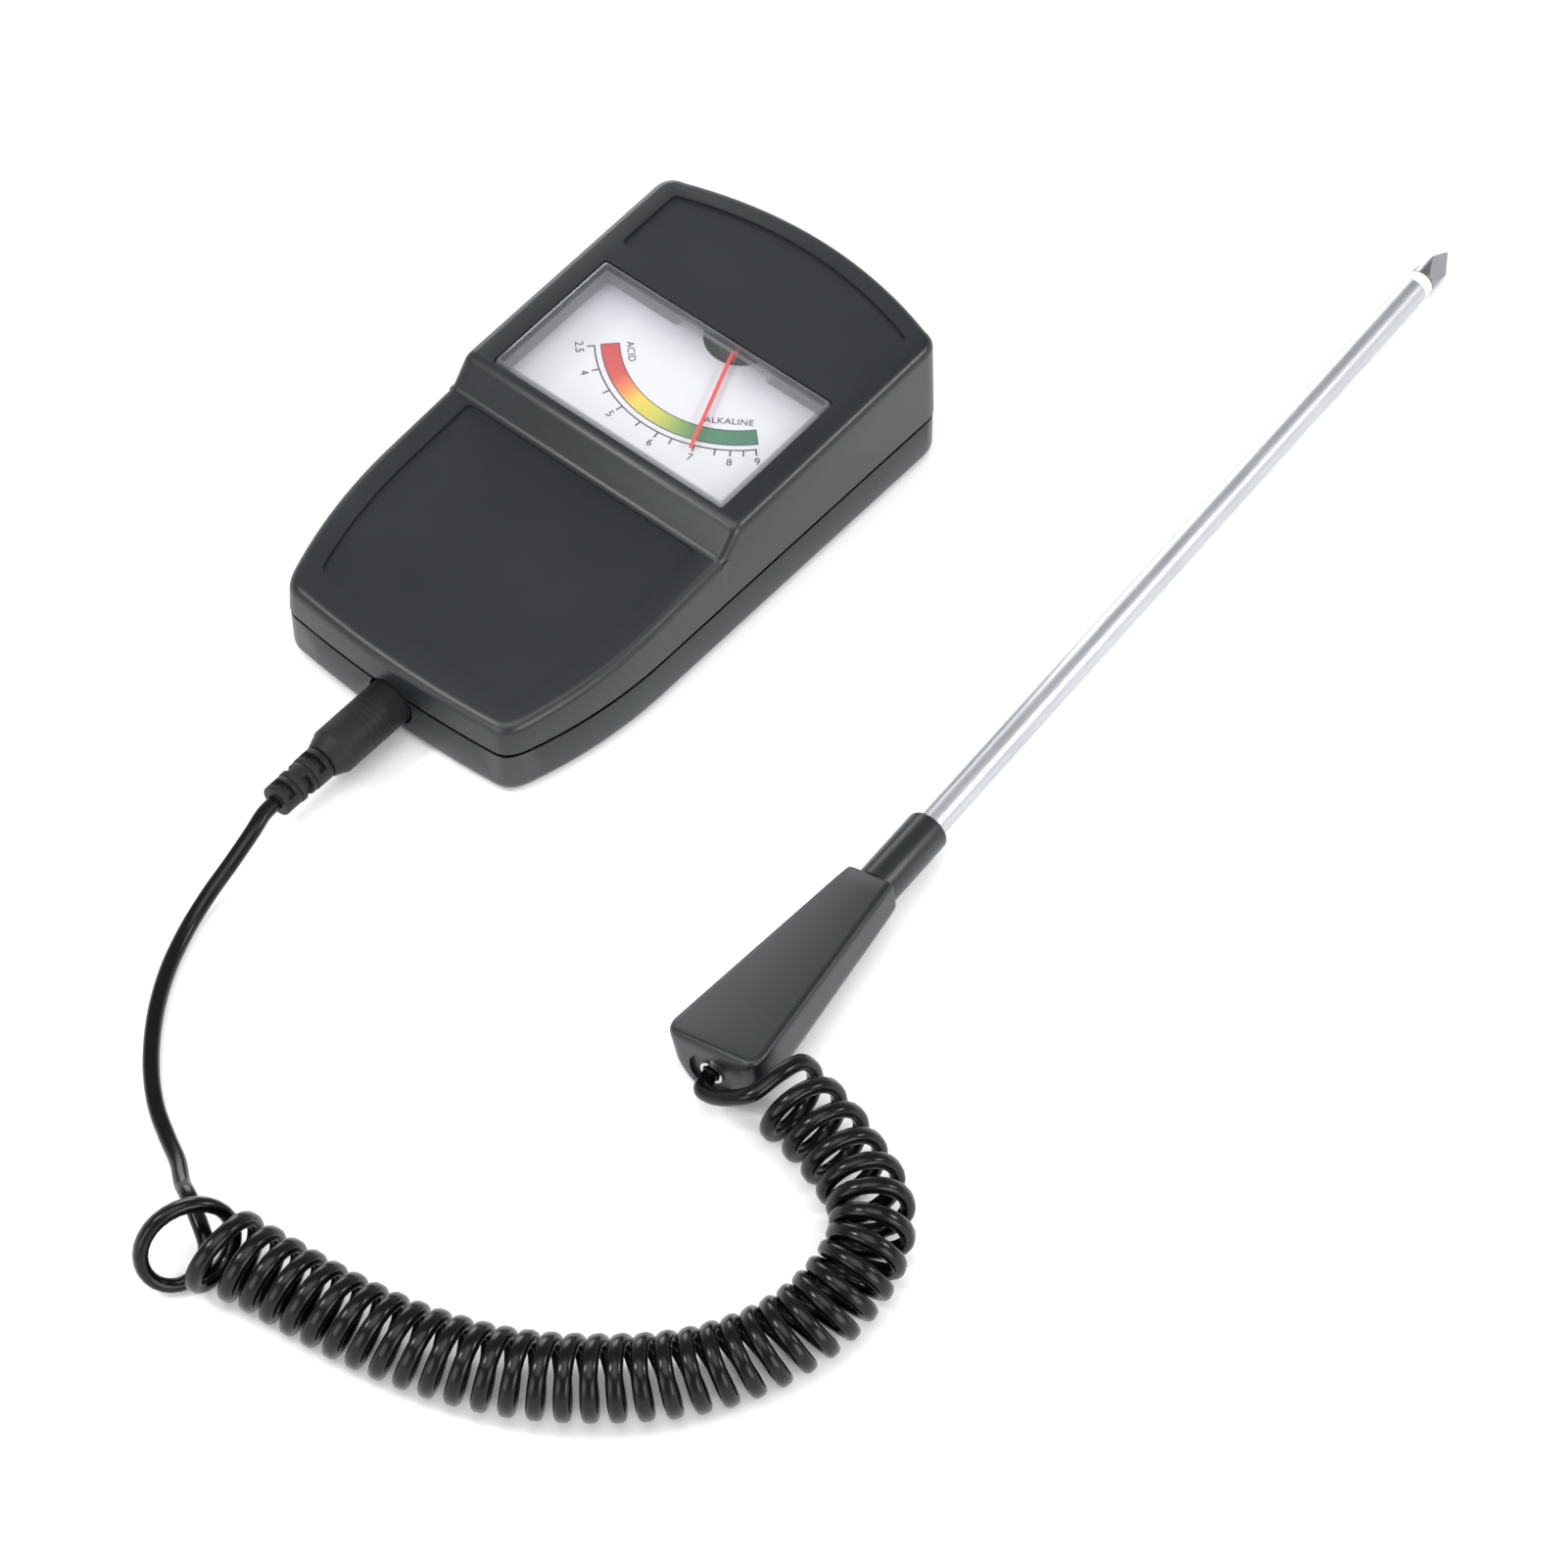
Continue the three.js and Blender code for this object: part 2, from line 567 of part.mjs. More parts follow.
// ---------------------------------------------------------------- socket and internal wires

const JACK_FRONT_Y = PLUG_NOSE_Y + 0.5;
const JACK_BUSH_END_Y = JACK_FRONT_Y + 3.6;
const JACK_BODY_END_Y = JACK_BUSH_END_Y + 15.0;

function buildSocket() {
  const boreRadius = PIN_RADIUS + 0.2;
  const bush = ringY(4.0, boreRadius, JACK_FRONT_Y, JACK_BUSH_END_Y, 24);
  addPiece(meter, 'jack_bushing', moved(bush, 0, 0, PLUG_Z), MATERIALS.nickel);
  const bodyLow = [-5.5, JACK_BUSH_END_Y + 0.1, WALL + 0.3];
  const bodyHigh = [5.5, JACK_BODY_END_Y, PLUG_Z + 5.2];
  const body = cut(
    block(bodyLow, bodyHigh),
    rodY(boreRadius + 0.1, JACK_BUSH_END_Y - 1, JACK_BODY_END_Y - 2, 20, 0, PLUG_Z),
  );
  addPiece(meter, 'jack_body', body, MATERIALS.blackPlastic);
  [-1, 1].forEach((side, i) => {
    const name = ['signal', 'ground'][i];
    const x = side * 3.2;
    addPiece(meter, `jack_lug_${name}`, block(
      [x - 1.2, JACK_BODY_END_Y + 0.1, PLUG_Z - 0.3], [x + 1.2, JACK_BODY_END_Y + 4.5, PLUG_Z + 0.3],
    ), MATERIALS.nickel);
    const start = [x, JACK_BODY_END_Y + 5.1, PLUG_Z];
    // Over the movement frame's near edge and along its top to the terminal lug.
    const overFrame = [[-44, -0.5], [-36, 1.6], [-25, 2.0], [-12.7, 2.6]].map(([y, rise]) => (
      new THREE.Vector3(side * LUG_X, y, FRAME_TOP + rise).applyMatrix4(movement.matrix).toArray()
    ));
    const route = [start, [x * 1.3, start[1] + 6, PLUG_Z - 2], [x * 1.9, -22, 5.4], ...overFrame];
    const vinyl = side < 0 ? MATERIALS.redVinyl : MATERIALS.blackPlastic;
    addPiece(meter, `wire_${name}`, tube(route, WIRE_RADIUS, 26, 6), vinyl);
  });
}

// ---------------------------------------------------------------- plug

function buildPlug() {
  const group = new THREE.Group();
  group.position.set(0, PLUG_NOSE_Y, PLUG_Z);
  const put = (name, geometry, material) => addPiece(group, name, geometry, material);
  const bodyEnd = -PLUG_BODY_LENGTH;
  const shoulderEnd = bodyEnd - PLUG_SHOULDER_LENGTH;
  const reliefEnd = shoulderEnd - RELIEF_LENGTH;
  const bore = PIN_RADIUS + 0.1;
  put('plug_body', turnedY([
    [0, shoulderEnd + 0.15], [4.0, shoulderEnd + 0.15], [PLUG_RADIUS, bodyEnd], [PLUG_RADIUS, -0.6],
    [PLUG_RADIUS - 0.6, 0], [0, 0],
  ], 28), MATERIALS.plugVinyl);
  const rib = RELIEF_LENGTH / 3;
  const waist = RELIEF_RADIUS - 0.9;
  const profile = [[0, reliefEnd], [RELIEF_RADIUS, reliefEnd]];
  for (let i = 0; i < 3; i += 1) {
    const ribTop = reliefEnd + (i + 1) * rib - 1.3;
    const radius = RELIEF_RADIUS + 0.15 * i;
    profile.push([radius, ribTop]);
    profile.push([waist, ribTop + 0.2]);
    profile.push([waist, ribTop + 1.1]);
    if (i < 2) profile.push([radius + 0.15, ribTop + 1.3]);
  }
  profile.push([waist, shoulderEnd - 0.1], [0, shoulderEnd - 0.1]);
  put('plug_strain_relief', turnedY(profile, 16), MATERIALS.plugVinyl);
  const sleeveEnd = PIN_LENGTH - 5.0;
  put('plug_sleeve', rodY(PIN_RADIUS, 0.1, sleeveEnd, 20), MATERIALS.nickel);
  put('plug_insulator', rodY(PIN_RADIUS, sleeveEnd + 0.1, sleeveEnd + 0.9, 20), MATERIALS.blackPlastic);
  put('plug_tip', turnedY([
    [0, sleeveEnd + 1.0], [PIN_RADIUS, sleeveEnd + 1.0], [PIN_RADIUS, PIN_LENGTH - 2.4],
    [1.2, PIN_LENGTH - 1.8], [1.6, PIN_LENGTH - 1.2], [0.6, PIN_LENGTH], [0, PIN_LENGTH],
  ], 20), MATERIALS.nickel);
  meter.add(group);
  return PLUG_NOSE_Y + reliefEnd;
}

// ---------------------------------------------------------------- lead

// The straight stretch: out of the plug, down to the table and round to the first loop.
const LEAD_ROUTE = [
  [0.2, -107.5, 8.8], [1.2, -112.0, 8.1], [2.2, -119.0, 6.4], [3.1, -127.2, 4.2], [4.9, -135.5, 2.5],
  [8.3, -144.2, 1.9], [13.0, -152.2, 1.9], [18.3, -159.1, 1.9], [24.0, -165.0, 1.9],
  [30.0, -169.7, 1.9], [36.4, -173.3, 2.2], [42.6, -176.6, 3.4], [48.0, -180.6, 5.6],
  [53.2, -183.4, 8.0],
];

// The centre line of the curly stretch, lying on the table.
const COIL_AXIS = [
  [57.0, -190.6], [65.5, -188.2], [74.0, -186.4], [83.3, -185.2], [93.9, -183.6], [104.0, -181.4],
  [113.6, -178.4], [122.5, -174.6], [129.9, -170.3], [136.6, -165.4], [143.0, -159.9],
  [148.3, -154.6], [153.4, -148.0], [157.4, -140.6], [160.0, -133.2], [161.4, -125.5],
  [161.3, -117.9], [160.3, -111.2], [158.2, -105.8], [155.2, -101.8], [151.0, -98.8],
  [146.0, -96.8], [139.2, -94.5], [132.4, -93.0], [126.6, -92.2],
];
const COIL_AXIS_Z = COIL_CORD_RADIUS + 0.05;

// The last stretch: off the top of the coil's last turn, down past the handle and into its end.
const LEAD_END_ROUTE = [
  [124.9, -88.6, 15.9], [124.2, -93.6, 16.7], [122.8, -98.9, 15.4], [119.2, -100.8, 12.6],
  [114.8, -101.5, 9.8], [111.2, -100.6, 8.1],
];
// Places on the handle's own axis, measured inwards from its end, that the lead passes through.
const LEAD_INSIDE = [0.5, 4.0, 8.0, 10.0];

function buildLead(plugEndY) {
  const start = [0, plugEndY - FACE_GAP, PLUG_Z];
  addPiece(meter, 'lead_straight', tube([start, ...LEAD_ROUTE], CORD_RADIUS, 26), MATERIALS.cordVinyl);
  const axis = COIL_AXIS.map(([x, y]) => [x, y, COIL_AXIS_Z]);
  addPiece(meter, 'lead_coil', tube(axis, COIL_CORD_RADIUS, 32, 12), MATERIALS.cordVinyl);
}

// ---------------------------------------------------------------- probe

const probe = new THREE.Group();
probe.position.set(...PROBE_ORIGIN);
probe.rotation.set(rad(PROBE_PITCH_DEG), rad(PROBE_ROLL_DEG), rad(PROBE_YAW_DEG), 'ZXY');
probe.updateMatrix();

const HANDLE_FRONT_Y = -COLLAR_LENGTH;
const HANDLE_END_Y = HANDLE_FRONT_Y - HANDLE_LENGTH;

// One cross-section of the handle at t (0 narrow end, 1 wide end), moved in by inset.
function handleSection(t, inset) {
  const mix = (key) => HANDLE_NARROW[key] + (HANDLE_WIDE[key] - HANDLE_NARROW[key]) * t;
  const half = mix('halfTop') - inset;
  const top = mix('top') - inset;
  const bottom = mix('bottom') + inset;
  const y = HANDLE_FRONT_Y - HANDLE_LENGTH * t;
  const waist = half * 0.94;
  const foot = half * 0.5;
  const profile = [
    [half - 1.0, top], [half, top - 1.2], [waist, bottom * 0.45], [foot + 1.2, bottom + 1.8],
    [foot - 1.2, bottom],
  ];
  const right = profile.map(([x, z]) => [x, y, z]);
  const left = profile.map(([x, z]) => [-x, y, z]).reverse();
  return [...right, ...left];
}

// The handle's parting surface as a block edge: everything above it belongs to the upper shell.
function partingPrism(above, gap) {
  const zFront = HANDLE_NARROW.bottom + 1.8;
  const zEnd = HANDLE_WIDE.bottom + 3.4;
  const reach = 30;
  const shift = above ? gap / 2 : -gap / 2;
  const slope = (zFront - zEnd) / HANDLE_LENGTH;
  const near = zEnd - slope * 20 + shift;
  const far = zFront + slope * 20 + shift;
  const outer = above ? reach : -reach;
  const shape = new THREE.Shape();
  shape.moveTo(HANDLE_END_Y - 20, near);
  shape.lineTo(HANDLE_FRONT_Y + 20, far);
  shape.lineTo(HANDLE_FRONT_Y + 20, outer);
  shape.lineTo(HANDLE_END_Y - 20, outer);
  shape.closePath();
  const geometry = new THREE.ExtrudeGeometry(shape, { depth: 2 * reach, bevelEnabled: false });
  geometry.translate(0, 0, -reach);
  return geometry.applyMatrix4(new THREE.Matrix4().makeBasis(
    new THREE.Vector3(0, 1, 0), new THREE.Vector3(0, 0, 1), new THREE.Vector3(1, 0, 0),
  ));
}

function handleHollow() {
  const endInset = HANDLE_WALL / HANDLE_LENGTH;
  return loft([handleSection(endInset, HANDLE_WALL), handleSection(1 - endInset, HANDLE_WALL)]);
}

const HANDLE_SCREW_Y = HANDLE_FRONT_Y - 37.0;

function handleBlock() {
  const body = cut(loft([handleSection(0, 0), handleSection(1, 0)]), handleHollow());
  const boss = common(
    rodZ(2.6, -12, 8, 16, 0, HANDLE_SCREW_Y),
    loft([handleSection(0.02, 0.4), handleSection(0.98, 0.4)]),
  );
  const { x, z, recessRadius } = HANDLE_EXIT;
  return cut(
    join(body, boss),
    rodY(ROD_RADIUS + 0.12, HANDLE_FRONT_Y - 4, HANDLE_FRONT_Y + 2, 24),
    rodY(2.75, HANDLE_END_Y - 2, HANDLE_END_Y + 4, 24, x, z),
    rodY(recessRadius, HANDLE_END_Y - 2, HANDLE_END_Y + 0.9, 32, x, z),
    rodZ(1.25, -12, 2.5, 12, 0, HANDLE_SCREW_Y),
    rodZ(2.3, -12, HANDLE_WIDE.bottom + 3.2, 16, 0, HANDLE_SCREW_Y),
  );
}

// The rod's point: a cylinder ground to three flats that meet on the axis.
function trocarTip() {
  const base = ROD_TIP_Y - TIP_LENGTH;
  const flatLength = 11.0;
  const reach = 3;
  const cone = new THREE.ConeGeometry(2 * ROD_RADIUS * reach, flatLength * reach, 3);
  const pyramid = moved(cone, 0, ROD_TIP_Y - (flatLength * reach) / 2, 0);
  return common(rodY(ROD_RADIUS, base, ROD_TIP_Y + 1, 32), pyramid);
}

function buildProbe() {
  const put = (name, geometry, material) => addPiece(probe, name, geometry, material);
  const tubeStart = HANDLE_FRONT_Y - 13;
  const ringStart = ROD_TIP_Y - TIP_LENGTH - TIP_RING_LENGTH;
  const wholeHandle = handleBlock();
  put('handle_upper', common(wholeHandle, partingPrism(true, 0.2)), MATERIALS.casePlastic);
  put('handle_lower', common(wholeHandle, partingPrism(false, 0.2)), MATERIALS.casePlastic);
  const screw = panScrew(2.0, 1.4, 1.1, 9.0);
  put('handle_screw', moved(screw, 0, HANDLE_SCREW_Y, HANDLE_WIDE.bottom + 1.6), MATERIALS.steel);
  put('probe_collar', turnedY([
    [ROD_RADIUS + 0.12, HANDLE_FRONT_Y + 0.1], [COLLAR_RADIUS, HANDLE_FRONT_Y + 0.1],
    [COLLAR_RADIUS, -0.8], [COLLAR_RADIUS - 0.8, 0], [ROD_RADIUS + 0.12, 0],
    [ROD_RADIUS + 0.12, HANDLE_FRONT_Y + 0.1],
  ], 28), MATERIALS.casePlastic);
  put('probe_tube', ringY(ROD_RADIUS, ROD_BORE_RADIUS, tubeStart, ringStart - 0.1, 28), MATERIALS.rodMetal);
  put('inner_sleeve', ringY(
    ROD_BORE_RADIUS - 0.1, CONDUCTOR_RADIUS + 0.1, tubeStart, ringStart - 0.1, 16,
  ), MATERIALS.whitePlastic);
  put('tip_insulator', ringY(
    ROD_RADIUS, CONDUCTOR_RADIUS + 0.1, ringStart, ringStart + TIP_RING_LENGTH - 0.1, 28,
  ), MATERIALS.whitePlastic);
  put('probe_tip', trocarTip(), MATERIALS.tipMetal);
  const conductorEnd = ROD_TIP_Y - TIP_LENGTH - 0.1;
  put('inner_conductor', rodY(CONDUCTOR_RADIUS, tubeStart - 4, conductorEnd, 12), MATERIALS.tipMetal);
  put('ground_lug', block(
    [-ROD_RADIUS - 0.9, tubeStart + 0.5, -1.2], [-ROD_RADIUS - 0.2, tubeStart + 3.5, 1.2],
  ), MATERIALS.nickel);
  const { x, z } = HANDLE_EXIT;
  const eyeletEnd = HANDLE_END_Y + 3.2;
  const eyelet = ringY(2.65, CORD_RADIUS + 0.3, HANDLE_END_Y + 0.4, eyeletEnd, 24);
  put('cord_eyelet', moved(eyelet, x, 0, z), MATERIALS.nickel);
  const cordInnerEnd = HANDLE_END_Y + LEAD_INSIDE.at(-1);
  const clampLow = HANDLE_END_Y + 4.6;
  put('cord_clamp', moved(ringY(3.4, CORD_RADIUS + 0.3, clampLow, clampLow + 3.0, 16), x, 0, z),
    MATERIALS.blackPlastic);
  put('handle_wire_signal', tube([
    [x + 0.75, cordInnerEnd + 0.6, z], [x + 3.6, cordInnerEnd + 5, z], [4.4, HANDLE_SCREW_Y, -1.6],
    [3.0, HANDLE_SCREW_Y + 9, -0.4], [0.6, tubeStart - 6.5, 0], [0, tubeStart - 4.4, 0],
  ], 0.55, 20, 6), MATERIALS.redVinyl);
  put('handle_wire_ground', tube([
    [x - 0.75, cordInnerEnd + 0.6, z], [x - 2.6, cordInnerEnd + 5, z], [-4.4, HANDLE_SCREW_Y, -1.6],
    [-4.6, HANDLE_SCREW_Y + 10, -0.4], [-4.2, tubeStart - 3, 0.2], [-3.6, tubeStart - 0.2, 0],
  ], 0.55, 20, 6), MATERIALS.blackPlastic);
  meter.add(probe);
}

function buildLeadEnd() {
  const { x, z } = HANDLE_EXIT;
  const inside = LEAD_INSIDE.map((depth) => (
    new THREE.Vector3(x, HANDLE_END_Y + depth, z).applyMatrix4(probe.matrix).toArray()
  ));
  addPiece(meter, 'lead_end', tube([...LEAD_END_ROUTE, ...inside], CORD_RADIUS, 18), MATERIALS.cordVinyl);
}

// ---------------------------------------------------------------- assembly

buildCase();
buildMovement();
buildSocket();
buildLead(buildPlug());
buildProbe();
buildLeadEnd();

export default meter;
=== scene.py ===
"""Analogue soil pH meter: looks, studio and camera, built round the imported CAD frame.

Lengths are written in millimetres, as in the CAD, and become metres when a mesh is made.
Only the studio, the materials' noises and the lead's length are written in metres.
"""
import math

import bmesh
import bpy
from mathutils import Matrix, Vector


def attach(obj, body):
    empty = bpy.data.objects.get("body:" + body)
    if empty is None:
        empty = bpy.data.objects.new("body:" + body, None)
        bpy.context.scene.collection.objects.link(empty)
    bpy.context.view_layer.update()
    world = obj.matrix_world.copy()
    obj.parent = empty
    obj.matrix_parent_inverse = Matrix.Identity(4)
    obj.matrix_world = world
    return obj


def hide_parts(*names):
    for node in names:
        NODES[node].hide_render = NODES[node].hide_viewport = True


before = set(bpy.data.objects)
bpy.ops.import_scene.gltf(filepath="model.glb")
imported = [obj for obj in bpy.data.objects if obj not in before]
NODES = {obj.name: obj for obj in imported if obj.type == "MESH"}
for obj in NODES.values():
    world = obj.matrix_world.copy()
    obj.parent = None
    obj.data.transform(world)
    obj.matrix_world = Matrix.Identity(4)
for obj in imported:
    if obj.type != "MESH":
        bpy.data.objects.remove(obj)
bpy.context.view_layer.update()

MM = 0.001

# ---------------------------------------------------------------- driving dimensions, as in the CAD

CASE_HALF_WIDTH = 38.2
FAR_CORNER_Y = 62.0
FAR_PEAK_Y = 68.6
SIDE_CURVE_Y = -28.0
FRONT_CORNER = (32.5, -63.0)
FRONT_EDGE = (27.0, -68.0)
FRONT_PEAK_Y = -69.4
FAR_CORNER_RADIUS = 4.5
WALL = 2.2
SEAM_Z = 13.4
SEAM_GAP = 1.2
TOP_DRAFT = 0.4
TOP_SLOPE = 0.04
TOP_FAR_Z = 35.5
STEP_TOP_Y = -3.6
STEP_FOOT_Y = -8.4
STEP_FOOT_Z = 26.4
FRONT_TOP_Z = 20.9
NEAR_SLOPE = (STEP_FOOT_Z - FRONT_TOP_Z) / (STEP_FOOT_Y - FRONT_EDGE[1])
EDGE_ROUND = 2.1
FOOT_ROUND = 0.9
PANEL_DEPTH = 0.55
LIP = 0.12  # how far the upper cover overhangs the lower one

WINDOW = (63.0, 35.8)
WINDOW_CENTRE_Y = 16.7
LENS_HEIGHT = 5.5
LENS_PROUD = 0.4
LENS_WALL = 1.4
LENS_THICKNESS = 1.3
LENS_CHAMFER = 1.0
PIVOT = (1.9, 40.0)
TILT = math.atan(TOP_SLOPE)

PLUG_Z = 9.0
PLUG_NOSE_Y = -66.9
PLUG_RADIUS = 5.3
PLUG_HOLE_RADIUS = 5.9

CORD_RADIUS = 1.7
LOOP_RADIUS = 7.05

PROBE_ORIGIN = (104.9, -23.0, 8.0)
PROBE_YAW_DEG = 4.46
PROBE_PITCH_DEG = -1.43
PROBE_ROLL_DEG = -12.0
ROD_RADIUS = 3.03
ROD_TIP_Y = 201.0
TIP_LENGTH = 11.6
TIP_RING_LENGTH = 2.9
COLLAR_RADIUS = 4.65
COLLAR_LENGTH = 19.3
HANDLE_LENGTH = 54.6
HANDLE_END_Y = -COLLAR_LENGTH - HANDLE_LENGTH
HANDLE_EXIT = (-1.2, -2.3)

# The lead's straight stretch, the line its curl follows, and its last stretch to the handle.
LEAD_ROUTE = [
    (0.0, -101.0, 9.0), (0.0, -103.8, 9.0), (0.2, -107.5, 8.8), (1.2, -112.0, 8.1),
    (2.2, -119.0, 6.4), (3.1, -127.2, 4.2), (4.9, -135.5, 2.5), (8.3, -144.2, 1.9),
    (13.0, -152.2, 1.9), (18.3, -159.1, 1.9), (24.0, -165.0, 1.9), (30.0, -169.7, 1.9),
    (36.4, -173.3, 2.2), (42.6, -176.6, 3.4), (48.0, -180.6, 5.6), (53.2, -183.4, 8.0),
]
COIL_AXIS = [
    (57.0, -190.6), (65.5, -188.2), (74.0, -186.4), (83.3, -185.2), (93.9, -183.6),
    (104.0, -181.4), (113.6, -178.4), (122.5, -174.6), (129.9, -170.3), (136.6, -165.4),
    (143.0, -159.9), (148.3, -154.6), (153.4, -148.0), (157.4, -140.6), (160.0, -133.2),
    (161.4, -125.5), (161.3, -117.9), (160.3, -111.2), (158.2, -105.8), (155.2, -101.8),
    (151.0, -98.8), (146.0, -96.8), (139.2, -94.5), (132.4, -93.0), (124.6, -92.0),
]
LEAD_END_ROUTE = [
    (124.9, -88.6, 15.9), (124.2, -93.6, 16.7), (122.8, -98.9, 15.4), (119.2, -100.8, 12.6),
    (114.8, -101.5, 9.8), (111.2, -100.6, 8.1),
]
LEAD_INSIDE = (0.5, 4.0, 8.0, 10.0)
TURNS = 37.58
FIRST_ANGLE_DEG = 190.0

CAMERA_PLACE = (505.05, -538.5, 872.79)
CAMERA_TURN_DEG = 40.39
CAMERA_LOOKS_DOWN_DEG = 52.51
CAMERA_ROLL_DEG = -0.24
CAMERA_LENS = 123.27
CAMERA_SENSOR = 36.0


# ---------------------------------------------------------------- camera

def make_camera():
    data = bpy.data.cameras.new("camera")
    data.sensor_width = CAMERA_SENSOR
    data.lens = CAMERA_LENS
    data.clip_start = 0.05
    data.clip_end = 20.0
    camera = bpy.data.objects.new("camera", data)
    bpy.context.scene.collection.objects.link(camera)
    turn = Matrix.Rotation(math.radians(CAMERA_TURN_DEG), 4, "Z")
    tip = Matrix.Rotation(math.radians(90.0 - CAMERA_LOOKS_DOWN_DEG), 4, "X")
    roll = Matrix.Rotation(math.radians(CAMERA_ROLL_DEG), 4, "Z")
    place = Matrix.Translation(Vector(CAMERA_PLACE) * MM)
    camera.matrix_world = place @ turn @ tip @ roll
    bpy.context.scene.camera = camera


# ---------------------------------------------------------------- material helpers

def linear(value):
    """A screen value from 0 to 1 as light."""
    return value / 12.92 if value <= 0.04045 else ((value + 0.055) / 1.055) ** 2.4


def colour(red, green, blue):
    """A shader colour from 0-255 screen values."""
    return tuple(linear(v / 255.0) for v in (red, green, blue)) + (1.0,)


def scaled(rgba, factor):
    """A shader colour made darker or lighter."""
    return tuple(min(1.0, v * factor) for v in rgba[:3]) + (1.0,)


class Paint:
    """A node material with a Principled shader and short calls to wire it."""

    def __init__(self, name, roughness=0.5, metallic=0.0):
        self.material = bpy.data.materials.new(name)
        self.material.use_nodes = True
        self.tree = self.material.node_tree
        self.shader = self.tree.nodes["Principled BSDF"]
        self.shader.inputs["Roughness"].default_value = roughness
        self.shader.inputs["Metallic"].default_value = metallic
        self.place = self.node("ShaderNodeTexCoord").outputs["Object"]

    def node(self, kind, **settings):
        made = self.tree.nodes.new(kind)
        for key, value in settings.items():
            setattr(made, key, value)
        return made

    def link(self, source, target):
        self.tree.links.new(source, target)

    def noise(self, scale, detail=3.0, stretch=(1.0, 1.0, 1.0)):
        mapping = self.node("ShaderNodeMapping")
        mapping.inputs["Scale"].default_value = stretch
        self.link(self.place, mapping.inputs["Vector"])
        made = self.node("ShaderNodeTexNoise")
        made.inputs["Scale"].default_value = scale
        made.inputs["Detail"].default_value = detail
        self.link(mapping.outputs["Vector"], made.inputs["Vector"])
        return made.outputs["Fac"]

    def ramp(self, source, stops):
        made = self.node("ShaderNodeValToRGB")
        elements = made.color_ramp.elements
        while len(elements) < len(stops):
            elements.new(0.5)
        for element, (position, rgba) in zip(elements, stops):
            element.position = position
            element.color = rgba
        self.link(source, made.inputs["Fac"])
        return made.outputs["Color"]

    def tint(self, source, rgba, low, high):
        """Colour that drifts between two shades of rgba with a noise."""
        stops = [(0.3, scaled(rgba, low)), (0.7, scaled(rgba, high))]
        self.link(self.ramp(source, stops), self.shader.inputs["Base Color"])

    def vary_roughness(self, source, low, high):
        made = self.node("ShaderNodeMapRange")
        made.inputs["To Min"].default_value = low
        made.inputs["To Max"].default_value = high
        self.link(source, made.inputs["Value"])
        self.link(made.outputs["Result"], self.shader.inputs["Roughness"])

    def bump(self, source, strength, distance):
        made = self.node("ShaderNodeBump")
        made.inputs["Strength"].default_value = strength
        made.inputs["Distance"].default_value = distance
        self.link(source, made.inputs["Height"])
        self.link(made.outputs["Normal"], self.shader.inputs["Normal"])


def moulded_plastic(name, rgba, roughness, grain=3500.0, bump=0.25, specular=0.5):
    paint = Paint(name)
    paint.shader.inputs["Specular IOR Level"].default_value = specular
    broad = paint.noise(35.0, 4.0)
    fine = paint.noise(grain, 2.0)
    paint.tint(broad, rgba, 0.92, 1.08)
    paint.vary_roughness(broad, roughness - 0.05, roughness + 0.06)
    paint.bump(fine, bump, 0.00006)
    return paint.material


def worn_metal(name, rgba, roughness, stretch=(1.0, 1.0, 1.0), scale=900.0):
    paint = Paint(name, metallic=1.0)
    brushed = paint.noise(scale, 3.0, stretch)
    broad = paint.noise(60.0, 3.0)
    paint.tint(broad, rgba, 0.93, 1.05)
    paint.vary_roughness(brushed, roughness - 0.06, roughness + 0.1)
    paint.bump(brushed, 0.12, 0.00003)
    return paint.material


def clear_plastic(name, rgba, alpha):
    paint = Paint(name, roughness=0.08)
    haze = paint.noise(120.0, 2.0)
    paint.tint(haze, rgba, 0.97, 1.03)
    paint.vary_roughness(haze, 0.05, 0.1)
    paint.shader.inputs["Alpha"].default_value = alpha
    return paint.material


def glossy_vinyl(name, rgba, roughness, specular=0.5):
    paint = Paint(name)
    paint.shader.inputs["Specular IOR Level"].default_value = specular
    smear = paint.noise(260.0, 3.0)
    pores = paint.noise(2600.0, 2.0)
    paint.tint(smear, rgba, 0.9, 1.12)
    paint.vary_roughness(smear, roughness - 0.05, roughness + 0.09)
    paint.bump(pores, 0.15, 0.00005)
    return paint.material


def printed_card(name, rgba):
    paint = Paint(name, roughness=0.5)
    fibres = paint.noise(1500.0, 3.0)
    paint.tint(fibres, rgba, 0.985, 1.015)
    paint.bump(fibres, 0.06, 0.00003)
    return paint.material


